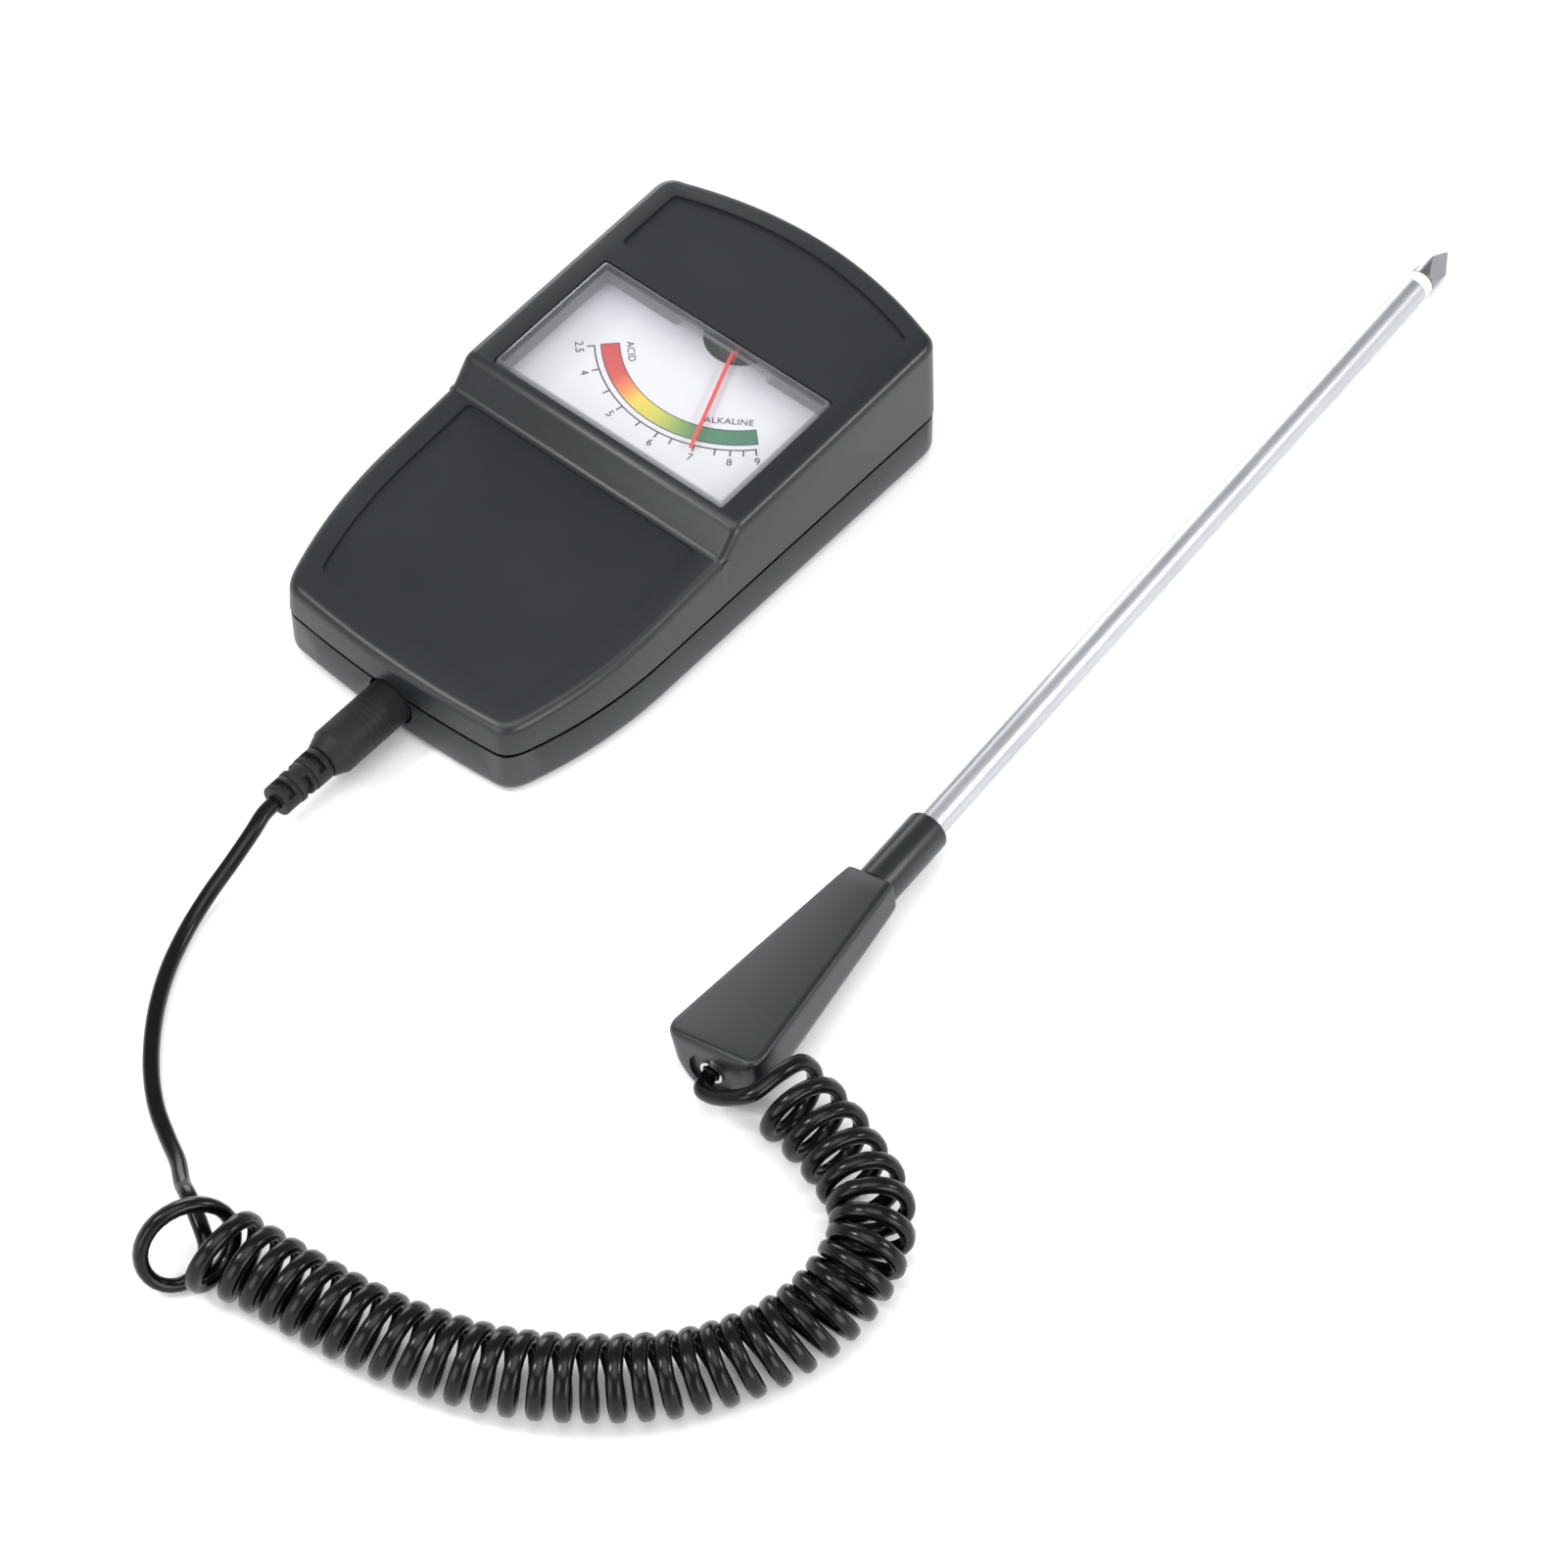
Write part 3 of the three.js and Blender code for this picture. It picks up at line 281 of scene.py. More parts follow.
def dial_card():
    """White card with painted shade: it darkens towards its far and left edges, where the case's rim
    shadows it.
    """
    paint = Paint("dial_card", roughness=0.55)
    split = paint.node("ShaderNodeSeparateXYZ")
    paint.link(paint.place, split.inputs["Vector"])
    # Painted shade from the case's rim: two ramps darken the card towards its far edge and its left edge.
    shade_far = paint.ramp(range_of(paint, split.outputs["Y"], 0.024, 0.036), [
        (0.0, colour(197, 198, 203)), (0.5, colour(186, 187, 193)), (1.0, colour(140, 141, 149)),
    ])
    shade_left = paint.ramp(range_of(paint, split.outputs["X"], -0.031, -0.019), [
        (0.0, (0.58, 0.58, 0.60, 1.0)), (0.5, (0.84, 0.84, 0.85, 1.0)), (1.0, (1.0, 1.0, 1.0, 1.0)),
    ])
    product = paint.node("ShaderNodeMix", data_type="RGBA", blend_type="MULTIPLY")
    product.inputs["Factor"].default_value = 1.0
    paint.link(shade_far, product.inputs["A"])
    paint.link(shade_left, product.inputs["B"])
    paint.link(product.outputs["Result"], paint.shader.inputs["Base Color"])
    paint.bump(paint.noise(1500.0, 3.0), 0.05, 0.00003)
    return paint.material


def range_of(paint, source, low, high):
    """A value's place between low and high, from 0 to 1."""
    made = paint.node("ShaderNodeMapRange")
    made.inputs["From Min"].default_value = low
    made.inputs["From Max"].default_value = high
    paint.link(source, made.inputs["Value"])
    return made.outputs["Result"]


def band_print():
    """The scale's colours, by angle about the needle's pivot: red, orange, yellow, green."""
    paint = Paint("band_print", roughness=0.5)
    mapping = paint.node("ShaderNodeMapping")
    mapping.inputs["Location"].default_value = (PIVOT[1] * MM, PIVOT[0] * MM, 0.0)
    mapping.inputs["Rotation"].default_value = (0.0, 0.0, math.radians(90.0))
    paint.link(paint.place, mapping.inputs["Vector"])
    gradient = paint.node("ShaderNodeTexGradient", gradient_type="RADIAL")
    paint.link(mapping.outputs["Vector"], gradient.inputs["Vector"])

    def stop(degrees):
        return 0.5 + degrees / 360.0

    stops = [
        (stop(-46.0), colour(172, 40, 42)), (stop(-21.0), colour(180, 50, 42)),
        (stop(-12.0), colour(206, 116, 46)), (stop(-4.0), colour(204, 180, 52)),
        (stop(8.0), colour(176, 176, 58)), (stop(19.0), colour(112, 142, 62)),
        (stop(29.0), colour(44, 108, 68)), (stop(46.0), colour(30, 98, 68)),
    ]
    paint.link(paint.ramp(gradient.outputs["Fac"], stops), paint.shader.inputs["Base Color"])
    paint.bump(paint.noise(1500.0, 3.0), 0.05, 0.00003)
    return paint.material


PAINTS = {
    "case": moulded_plastic("case_charcoal", colour(18, 19, 25), 0.36),
    "handle": moulded_plastic("handle_charcoal", colour(17, 18, 23), 0.36),
    "plug": moulded_plastic("plug_vinyl", colour(20, 20, 21), 0.5, bump=0.15, specular=0.25),
    "cord": glossy_vinyl("cord_vinyl", colour(6, 6, 8), 0.2, specular=0.24),
    "dial": dial_card(),
    "ink": printed_card("print_ink", colour(26, 27, 34)),
    "band": band_print(),
    "pointer": moulded_plastic("pointer_red", colour(214, 44, 38), 0.4, bump=0.05),
    "window": clear_plastic("window_clear", colour(225, 227, 231), 0.04),
    # The lens's walls and chamfers: a darker, more opaque copy of the clear plastic, painted shade for the
    # dark lines that refraction draws along them.
    "window_edge_painted_shade": clear_plastic("window_edge_painted_shade", colour(112, 114, 121), 0.46),
    "rod": worn_metal("rod_plated", colour(186, 187, 192), 0.42, (1.0, 0.04, 1.0)),
    "tip": worn_metal("tip_ground", colour(140, 141, 145), 0.3, (1.0, 0.2, 1.0), 2600.0),
    "ring": moulded_plastic("tip_ring_nylon", colour(206, 212, 204), 0.4, bump=0.1),
    "white": moulded_plastic("white_nylon", colour(216, 216, 212), 0.5, bump=0.1),
    "black": moulded_plastic("black_moulding", colour(30, 30, 33), 0.5),
    "red": glossy_vinyl("red_vinyl", colour(170, 34, 28), 0.4),
    "nickel": worn_metal("nickel_plate", colour(206, 206, 202), 0.22),
    "steel": worn_metal("steel_zinc", colour(160, 161, 164), 0.35),
    "brass": worn_metal("brass", colour(190, 156, 84), 0.32),
    "copper": worn_metal("copper_winding", colour(184, 112, 66), 0.32, (1.0, 1.0, 6.0), 2200.0),
    "iron": worn_metal("soft_iron", colour(116, 117, 120), 0.5),
    "magnet": worn_metal("magnet_dark", colour(70, 71, 75), 0.45),
}

NODE_PAINTS = {
    "dial": ["dial_plate"],
    "pointer": ["pointer"],
    "nickel": [
        "yoke_ring", "plug_sleeve", "plug_tip", "jack_bushing", "cord_eyelet", "ground_lug",
        "jack_lug_signal", "jack_lug_ground", "movement_lug_signal", "movement_lug_ground",
    ],
    "magnet": ["core_magnet"],
    "iron": ["core_bracket_far", "core_bracket_near"],
    "brass": [
        "pointer_counterweight", "bridge_post_left", "bridge_post_right", "jewel_screw_front",
        "jewel_screw_rear", "hairspring_front", "hairspring_rear", "front_bridge",
    ],
    "copper": ["moving_coil"],
    "steel": [
        "case_screw_1", "case_screw_2", "case_screw_3", "case_screw_4", "frame_screw_1",
        "frame_screw_2", "handle_screw", "pivot_front", "pivot_rear", "stop_pin_left",
        "stop_pin_right",
    ],
    "black": [
        "movement_frame", "jack_body", "plug_insulator", "cord_clamp", "wire_ground",
        "handle_wire_ground",
    ],
    "red": ["wire_signal", "handle_wire_signal"],
    "white": ["inner_sleeve"],
    "tip": ["inner_conductor"],
}


def paint_nodes():
    for key, names in NODE_PAINTS.items():
        for name in names:
            for material_slot in NODES[name].material_slots:
                material_slot.material = PAINTS[key]


# ---------------------------------------------------------------- mesh helpers

def grid_mesh(name, rings, close_start=True, close_end=True):
    """Rings of the same number of points, joined into one skin, with flat ends."""
    mesh = bpy.data.meshes.new(name)
    count = len(rings[0])
    points = [tuple(c * MM for c in point) for ring in rings for point in ring]
    faces = []
    for r in range(len(rings) - 1):
        for i in range(count):
            j = (i + 1) % count
            a = r * count
            faces.append((a + i, a + j, a + count + j, a + count + i))
    last = (len(rings) - 1) * count
    if close_start:
        faces.append(tuple(reversed(range(count))))
    if close_end:
        faces.append(tuple(range(last, last + count)))
    mesh.from_pydata(points, [], faces)
    return outward(mesh)


def outward(mesh):
    """Joins points that coincide and turns every face to look outward."""
    work = bmesh.new()
    work.from_mesh(mesh)
    bmesh.ops.remove_doubles(work, verts=work.verts, dist=1e-7)
    bmesh.ops.recalc_face_normals(work, faces=work.faces)
    work.to_mesh(mesh)
    work.free()
    return mesh


def new_object(name, mesh, paints=(), sharp_deg=35.0):
    made = bpy.data.objects.new(name, mesh)
    bpy.context.scene.collection.objects.link(made)
    for key in paints:
        mesh.materials.append(PAINTS[key])
    mesh.shade_smooth()
    mesh.set_sharp_from_angle(angle=math.radians(sharp_deg))
    return made


def stand_for(obj, body, slot, *nodes):
    """Fixes a piece to its body and hides the CAD nodes it replaces; the slot given is not used."""
    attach(obj, body)
    if nodes:
        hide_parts(*nodes)
    return obj


def settle(obj):
    """Keeps what the modifiers make as the mesh itself."""
    graph = bpy.context.evaluated_depsgraph_get()
    old = obj.data
    obj.data = bpy.data.meshes.new_from_object(obj.evaluated_get(graph))
    obj.modifiers.clear()
    obj.data.name = obj.name
    bpy.data.meshes.remove(old)


def carve(obj, *cutters, sharp_deg=35.0):
    """Cuts each cutter out of the object, and removes the cutter."""
    for cutter in cutters:
        modifier = obj.modifiers.new("cut", "BOOLEAN")
        modifier.operation = "DIFFERENCE"
        modifier.solver = "EXACT"
        modifier.object = cutter
        settle(obj)
        bpy.data.objects.remove(cutter)
    obj.data.shade_smooth()
    obj.data.set_sharp_from_angle(angle=math.radians(sharp_deg))


def cutter(mesh):
    made = bpy.data.objects.new("cutter", mesh)
    bpy.context.scene.collection.objects.link(made)
    return made


def circle(radius, sides, x=0.0, y=0.0):
    step = 2.0 * math.pi / sides
    return [(x + radius * math.cos(step * i), y + radius * math.sin(step * i)) for i in range(sides)]


def prism(points, low, high):
    """A column on a plan outline; low and high are heights or functions of y."""
    def height(limit, y):
        return limit(y) if callable(limit) else limit
    rings = [[(x, y, height(limit, y)) for x, y in points] for limit in (low, high)]
    return grid_mesh("prism", rings)


def lathe_y(name, profile, sides, x=0.0, z=0.0, hollow=False):
    """A [radius, y] profile turned about a line along Y."""
    rings = [[(x + a, y, z + b) for a, b in circle(radius, sides)] for radius, y in profile]
    return grid_mesh(name, rings, not hollow, not hollow)


def arc_corner(centre, radius, start_deg, end_deg, steps):
    points = []
    for i in range(steps + 1):
        angle = math.radians(start_deg + (end_deg - start_deg) * i / steps)
        points.append((centre[0] + radius * math.cos(angle), centre[1] + radius * math.sin(angle)))
    return points


def rounded_box_outline(x0, y0, x1, y1, radius, steps=4):
    return (
        arc_corner((x1 - radius, y0 + radius), radius, -90, 0, steps)
        + arc_corner((x1 - radius, y1 - radius), radius, 0, 90, steps)
        + arc_corner((x0 + radius, y1 - radius), radius, 90, 180, steps)
        + arc_corner((x0 + radius, y0 + radius), radius, 180, 270, steps)
    )


# ---------------------------------------------------------------- lead

def smooth_path(points, steps):
    """Points along a Catmull-Rom curve through the given points."""
    knots = [Vector(p) for p in points]
    knots = [knots[0] * 2 - knots[1]] + knots + [knots[-1] * 2 - knots[-2]]
    path = []
    for i in range(1, len(knots) - 2):
        before, a, b, after = knots[i - 1:i + 3]
        for k in range(steps):
            t = k / steps
            path.append(0.5 * (
                2 * a + (b - before) * t + (2 * before - 5 * a + 4 * b - after) * t ** 2
                + (3 * a - before - 3 * b + after) * t ** 3
            ))
    path.append(knots[-2])
    return path


def lengths_along(path):
    total = [0.0]
    for a, b in zip(path, path[1:]):
        total.append(total[-1] + (b - a).length)
    return total


def between(keys, at):
    """Straight-line value at a place in a list of (place, value)."""
    if at <= keys[0][0]:
        return keys[0][1]
    for (x0, y0), (x1, y1) in zip(keys, keys[1:]):
        if at <= x1:
            return y0 + (y1 - y0) * (at - x0) / (x1 - x0)
    return keys[-1][1]


PITCH_KEYS = [(0, 6.3), (10, 6.2), (16, 4.73), (150, 4.73), (162, 5.2), (172, 6.4), (200, 7.0)]
LEAN_KEYS = [(0, 0), (12, 6), (50, 8), (95, -12), (122, -26), (142, -28), (162, 0), (200, 0)]
LOOP_KEYS = [(0, 8.4), (6, 8.1), (12, 7.5), (18, LOOP_RADIUS), (170, LOOP_RADIUS), (190, 7.6)]
FACING = Vector((0.36, -0.51, 0.78))
FACING_SHARE = 0.85  # how much the first loop turns from its axis to FACING
FACING_RUN = 13.0
STEPS_PER_TURN = 26
FIRST_SWING = Vector((-1.7, -2.8, 0.0))  # the first loop stands away from the others
SWING_RUN = 12.0
TANGENT_REACH = 24  # points of the axis to each side that give its direction
FLOOR_GAP = 0.15
HINT_PASSES = 30
HINT_REACH = 14


def curl():
    """The curl's centre line and, for each point, the direction out of its turn."""
    axis = smooth_path([(x, y, 0.0) for x, y in COIL_AXIS], 16)
    run = lengths_along(axis)
    phase = [0.0]
    for a, b in zip(run, run[1:]):
        phase.append(phase[-1] + (b - a) / between(PITCH_KEYS, (a + b) / 2))
    steps = round(TURNS * STEPS_PER_TURN)
    points, outs = [], []
    place = 0
    for i in range(steps + 1):
        wanted = phase[-1] * i / steps
        while place < len(axis) - 2 and phase[place + 1] < wanted:
            place += 1
        share = (wanted - phase[place]) / (phase[place + 1] - phase[place])
        along = run[place] + (run[place + 1] - run[place]) * share
        centre = axis[place].lerp(axis[place + 1], share)
        low = max(0, place - TANGENT_REACH)
        high = min(len(axis) - 1, place + TANGENT_REACH)
        tangent = (axis[high] - axis[low]).normalized()
        lean = math.radians(between(LEAN_KEYS, along))
        normal = tangent * math.cos(lean) - Vector((0, 0, 1)) * math.sin(lean)
        normal = normal.lerp(FACING, max(0.0, FACING_SHARE - along / FACING_RUN)).normalized()
        side = Vector((0, 0, 1)).cross(normal).normalized()
        up = normal.cross(side)
        radius = between(LOOP_KEYS, along)
        angle = math.radians(FIRST_ANGLE_DEG) + 2 * math.pi * TURNS * i / steps
        out = -math.cos(angle) * side + math.sin(angle) * up
        centre = centre + FIRST_SWING * max(0.0, 1.0 - along / SWING_RUN)
        centre.z = radius * up.z + CORD_RADIUS + FLOOR_GAP
        points.append(centre + out * radius)
        outs.append(out)
    return points, outs


def probe_matrix():
    yaw = Matrix.Rotation(math.radians(PROBE_YAW_DEG), 4, "Z")
    pitch = Matrix.Rotation(math.radians(PROBE_PITCH_DEG), 4, "X")
    roll = Matrix.Rotation(math.radians(PROBE_ROLL_DEG), 4, "Y")
    return Matrix.Translation(Vector(PROBE_ORIGIN)) @ yaw @ pitch @ roll


PROBE = probe_matrix()


def cord_section(sides=14):
    """A twin lead's section: nearly round, with a shallow groove on two sides."""
    points = []
    for i in range(sides):
        angle = 2 * math.pi * i / sides
        groove = 0.16 * abs(math.cos(angle)) ** 6
        points.append((math.cos(angle) * (1 - groove), math.sin(angle)))
    return points


def make_lead():
    """The whole lead as one skin, and its centre line in metres from the handle to the plug."""
    turns, outs = curl()
    lead_in = smooth_path(LEAD_ROUTE + [tuple(turns[0]), tuple(turns[2])], 8)[:-8]
    inside = [PROBE @ Vector((HANDLE_EXIT[0], HANDLE_END_Y + d, HANDLE_EXIT[1])) for d in LEAD_INSIDE]
    knots = [tuple(turns[-3]), tuple(turns[-1])] + LEAD_END_ROUTE + [tuple(p) for p in inside]
    lead_out = smooth_path(knots, 8)[8:]
    up = Vector((0, 0, 1))
    path = lead_in[:-1] + turns + lead_out[1:]
    outward_hint = [up] * (len(lead_in) - 1) + outs + [up] * (len(lead_out) - 1)
    for _ in range(HINT_PASSES):  # the hints turn evenly where the stretches meet
        for edge in (len(lead_in) - 1, len(lead_in) - 1 + len(turns)):
            for k in range(edge - HINT_REACH, edge + HINT_REACH):
                outward_hint[k] = (outward_hint[k - 1] + outward_hint[k] + outward_hint[k + 1]) / 3
    section = cord_section()
    rings = []
    for i, point in enumerate(path):
        ahead = path[min(i + 1, len(path) - 1)] - path[max(i - 1, 0)]
        forward = ahead.normalized()
        out = outward_hint[i] - forward * outward_hint[i].dot(forward)
        out.normalize()
        side = forward.cross(out)
        rings.append([point + CORD_RADIUS * (a * out + b * side) for a, b in section])
    lead = new_object("lead_cord", grid_mesh("lead_cord", rings), ["cord"], 60.0)
    stand_for(lead, "lead_probe", "cord_vinyl", "lead_straight", "lead_coil", "lead_end")
    return lead, [p * MM for p in reversed(path)]


# ---------------------------------------------------------------- case

def curve_through(start, control, end, steps):
    """Points of a quadratic curve after its start, as the CAD outline draws it."""
    points = []
    for i in range(1, steps + 1):
        t = i / steps
        weights = ((1 - t) ** 2, 2 * t * (1 - t), t * t)
        points.append(tuple(
            weights[0] * start[k] + weights[1] * control[k] + weights[2] * end[k] for k in (0, 1)
        ))
    return points


def case_outline(inset):
    """The case in plan from the right end of its step round the far end, then the near end.

    Returns the points and how many of them lie beyond the step.
    """
    w = CASE_HALF_WIDTH - inset
    far_y = FAR_CORNER_Y - inset
    peak = far_y + 2 * (FAR_PEAK_Y - FAR_CORNER_Y) - 0.8
    front_x = FRONT_CORNER[0] - inset
    front_y = FRONT_CORNER[1] + inset * 0.4
    edge_x = FRONT_EDGE[0] - inset
    edge_y = FRONT_EDGE[1] + inset
    front_control = edge_y - 2 * (FRONT_EDGE[1] - FRONT_PEAK_Y)
    r = FAR_CORNER_RADIUS
    far = [(w, STEP_TOP_Y), (w, far_y - r)]
    far += curve_through(far[-1], (w, far_y), (w - r, far_y + 0.8), 7)
    far += curve_through(far[-1], (0.0, peak), (-w + r, far_y + 0.8), 20)
    far += curve_through(far[-1], (-w, far_y), (-w, far_y - r), 7)
    far += [(-w, STEP_TOP_Y)]
    near = [(-w, STEP_FOOT_Y), (-w, SIDE_CURVE_Y)]
    near += curve_through(near[-1], (-w, SIDE_CURVE_Y - 18), (-front_x, front_y), 12)
    near += curve_through(near[-1], (-front_x + 1.7, edge_y), (-edge_x, edge_y), 6)
    near += curve_through(near[-1], (0.0, front_control), (edge_x, edge_y), 10)
    near += curve_through(near[-1], (front_x - 1.7, edge_y), (front_x, front_y), 6)
    near += curve_through(near[-1], (w, SIDE_CURVE_Y - 18), (w, SIDE_CURVE_Y), 12)
    near += [(w, STEP_FOOT_Y)]
    return far + near, len(far)


def far_height(y):
    return TOP_FAR_Z + TOP_SLOPE * (y - FAR_PEAK_Y)


def near_height(y):
    return STEP_FOOT_Z + NEAR_SLOPE * (y - STEP_FOOT_Y)


def cover_block(inset, drop, base_z, rounded):
    """The upper cover's outside as a closed block, or its cavity when inset and lowered."""
    low, split = case_outline(inset)
    high, _ = case_outline(inset + TOP_DRAFT)
    work = bmesh.new()
    foot = [work.verts.new((x * MM, y * MM, base_z * MM)) for x, y in low]
    top = []
    for i, (x, y) in enumerate(high):
        z = (far_height(y) if i < split else near_height(y)) - drop
        top.append(work.verts.new((x * MM, y * MM, z * MM)))
    count = len(foot)
    for i in range(count):
        j = (i + 1) % count
        work.faces.new((foot[i], foot[j], top[j], top[i]))
    work.faces.new(list(reversed(foot)))
    work.faces.new(top[:split])
    work.faces.new([top[0], top[split - 1], top[split], top[-1]])
    work.faces.new(top[split:])
    bmesh.ops.recalc_face_normals(work, faces=work.faces)
    if rounded:
        round_edges(work, lambda edge: step_edge(edge, STEP_FOOT_Y), FOOT_ROUND, 3)
        round_edges(
            work, lambda edge: rim_edge(edge) or step_edge(edge, STEP_TOP_Y), EDGE_ROUND, 5,
        )
    mesh = bpy.data.meshes.new("cover")
    work.to_mesh(mesh)
    work.free()
    return mesh


def step_edge(edge, y):
    return all(abs(v.co.y - y * MM) < 1e-5 for v in edge.verts) and edge.calc_length() > 0.05


def rim_edge(edge):
    if len(edge.link_faces) != 2:
        return False
    steep, flat = sorted(abs(face.normal.z) for face in edge.link_faces)
    return steep < 0.2 and flat > 0.3 and min(v.co.z for v in edge.verts) > (SEAM_Z + 2) * MM


def round_edges(work, chosen, offset, segments):
    work.normal_update()
    edges = [edge for edge in work.edges if chosen(edge)]
    bmesh.ops.bevel(
        work, geom=edges, offset=offset * MM, segments=segments, profile=0.5,
        affect="EDGES", clamp_overlap=False,
    )


def tilted(mesh):
    """A mesh drawn in the window's own axes, put in its place in the case."""
    place = Matrix.Translation(Vector((0.0, WINDOW_CENTRE_Y, 0.0)) * MM)
    lens_top = far_height(WINDOW_CENTRE_Y) + LENS_PROUD
    lift = Matrix.Translation(Vector((0.0, 0.0, lens_top - LENS_HEIGHT)) * MM)
    mesh.transform(place @ lift @ Matrix.Rotation(TILT, 4, "X"))
    return mesh


def window_outline(inset, radius):
    half_x, half_y = WINDOW[0] / 2 - inset, WINDOW[1] / 2 - inset
    return rounded_box_outline(-half_x, -half_y, half_x, half_y, radius)


def far_panel_outline():
    """The label recess at the far end: straight near edge, far edge parallel to the case's."""
    side, near_y, side_y, peak_y = 32.3, 40.2, 58.0, 63.3
    r = 1.6
    points = arc_corner((side - r, near_y + r), r, -90, 0, 4)
    points += arc_corner((side - r, side_y - r), r, 0, 80, 4)
    points += curve_through(points[-1], (0.0, 2 * peak_y - side_y), (-points[-1][0], points[-1][1]), 16)
    points += arc_corner((-side + r, side_y - r), r, 100, 180, 4)
    points += arc_corner((-side + r, near_y + r), r, 180, 270, 4)
    return points


def near_panel_outline():
    """The label recess on the lower half, following the case's sides in to its near end."""
    r = 1.6
    half, rear_y = 31.6, STEP_FOOT_Y - 1.1
    points = arc_corner((half - r, rear_y - r), r, 90, 0, 4)
    points += curve_through((half, SIDE_CURVE_Y - 2), (half, -44.0), (27.6, -58.4), 10)
    points += curve_through(points[-1], (27.2, -60.0), (25.6, -60.4), 3)
    points += curve_through(points[-1], (0.0, -62.8), (-25.6, -60.4), 12)
    mirrored = [(-x, y) for x, y in points[:-12]]
    return points + list(reversed(mirrored))[1:]


def front_hole():
    hole = lathe_y("hole", [(PLUG_HOLE_RADIUS, -76.0), (PLUG_HOLE_RADIUS, -60.0)], 48, 0.0, PLUG_Z)
    return cutter(hole)


def make_front_cover():
    cover = new_object("case_upper", cover_block(-LIP, 0.0, SEAM_Z, True), ["case"])
    cavity = cutter(cover_block(WALL, WALL, SEAM_Z - 3.0, False))
    window = cutter(tilted(prism(window_outline(-0.15, 0.7), -2.0, 12.0)))
    far_panel = cutter(prism(far_panel_outline(), lambda y: far_height(y) - PANEL_DEPTH, 45.0))
    near_panel = cutter(prism(near_panel_outline(), lambda y: near_height(y) - PANEL_DEPTH, 45.0))
    carve(cover, cavity, window, far_panel, near_panel, front_hole())
    stand_for(cover, "meter", "case_plastic", "front_cover")


CASE_SCREWS = [(-30.0, 55.0), (30.0, 55.0), (-24.0, -56.0), (24.0, -56.0)]
BOSS_RADIUS = 4.2
BOSS_TOP_Z = 12.6
SCREW_BORE_RADIUS = 1.8
SCREW_HEAD_RADIUS = 3.2
SCREW_HEAD_DEPTH = 2.5


def make_rear_cover():
    rim = SEAM_Z - SEAM_GAP
    base_round = 3.4
    # A bevelled inner edge, the rim itself, then the outside down to the rounded base.
    levels = [(1.2, rim - 1.6), (0.3, rim - 0.1), (0.1, rim), (0.0, rim - 0.15)]
    for i in range(6):
        angle = math.radians(90.0 * i / 5)
        levels.append((base_round * (1 - math.cos(angle)), base_round * (1 - math.sin(angle))))
    rings = [[(x, y, z) for x, y in case_outline(inset)[0]] for inset, z in levels]
    tray = new_object("case_lower", grid_mesh("case_lower", rings), ["case"])
    cavity = cutter(prism(case_outline(WALL)[0], WALL, rim + 5.0))
    carve(tray, cavity)
    for x, y in CASE_SCREWS:
        boss = cutter(prism(circle(BOSS_RADIUS, 28, x, y), 0.6, BOSS_TOP_Z))
        modifier = tray.modifiers.new("join", "BOOLEAN")
        modifier.operation = "UNION"
        modifier.solver = "EXACT"
        modifier.object = boss
        settle(tray)
        bpy.data.objects.remove(boss)
        carve(tray, cutter(prism(circle(SCREW_BORE_RADIUS, 20, x, y), -1.0, BOSS_TOP_Z + 1.0)))
        carve(tray, cutter(prism(circle(SCREW_HEAD_RADIUS, 28, x, y), -1.0, SCREW_HEAD_DEPTH)))
    relief = rounded_box_outline(-21.0, -80.0, 21.0, -60.5, 1.2)
    carve(tray, cutter(prism(relief, -1.0, 1.0)), front_hole())
    stand_for(tray, "meter", "case_plastic", "rear_cover")


def make_lens():
    foot = 0.3
    chamfer_z = LENS_HEIGHT - LENS_CHAMFER
    roof = LENS_HEIGHT - LENS_THICKNESS
    levels = [
        (LENS_WALL, foot), (0.0, foot), (0.0, chamfer_z), (LENS_CHAMFER * 0.35, LENS_HEIGHT - 0.3),
        (LENS_CHAMFER, LENS_HEIGHT),
    ]
    rings = []
    for inset, z in levels:
        radius = max(0.35, 1.1 - inset)
        rings.append([(x, y, z) for x, y in window_outline(inset, radius)])
    inner = [[(x, y, z) for x, y in window_outline(LENS_WALL, 0.35)] for z in (roof, foot)]
    mesh = grid_mesh("lens", inner + rings, True, True)
    mesh = tilted(mesh)
    pane = new_object("window_pane", mesh, ["window", "window_edge_painted_shade"], 20.0)
    across = Matrix.Rotation(TILT, 3, "X") @ Vector((0, 0, 1))
    # Flat wide faces take the clear plastic; walls and chamfers take the darker copy, painted shade for
    # refraction's dark lines.
    for polygon in mesh.polygons:
        flat_and_wide = abs(polygon.normal.dot(across)) > 0.99 and len(polygon.vertices) > 6
        polygon.material_index = 0 if flat_and_wide else 1
    slot_cut = prism(rounded_box_outline(-10.6, 14.0, 14.4, 19.5, 0.5), -1.0, 2.5)
    carve(pane, cutter(tilted(slot_cut)), sharp_deg=20.0)
    stand_for(pane, "meter", "clear_window", "meter_lens")


# ---------------------------------------------------------------- dial print

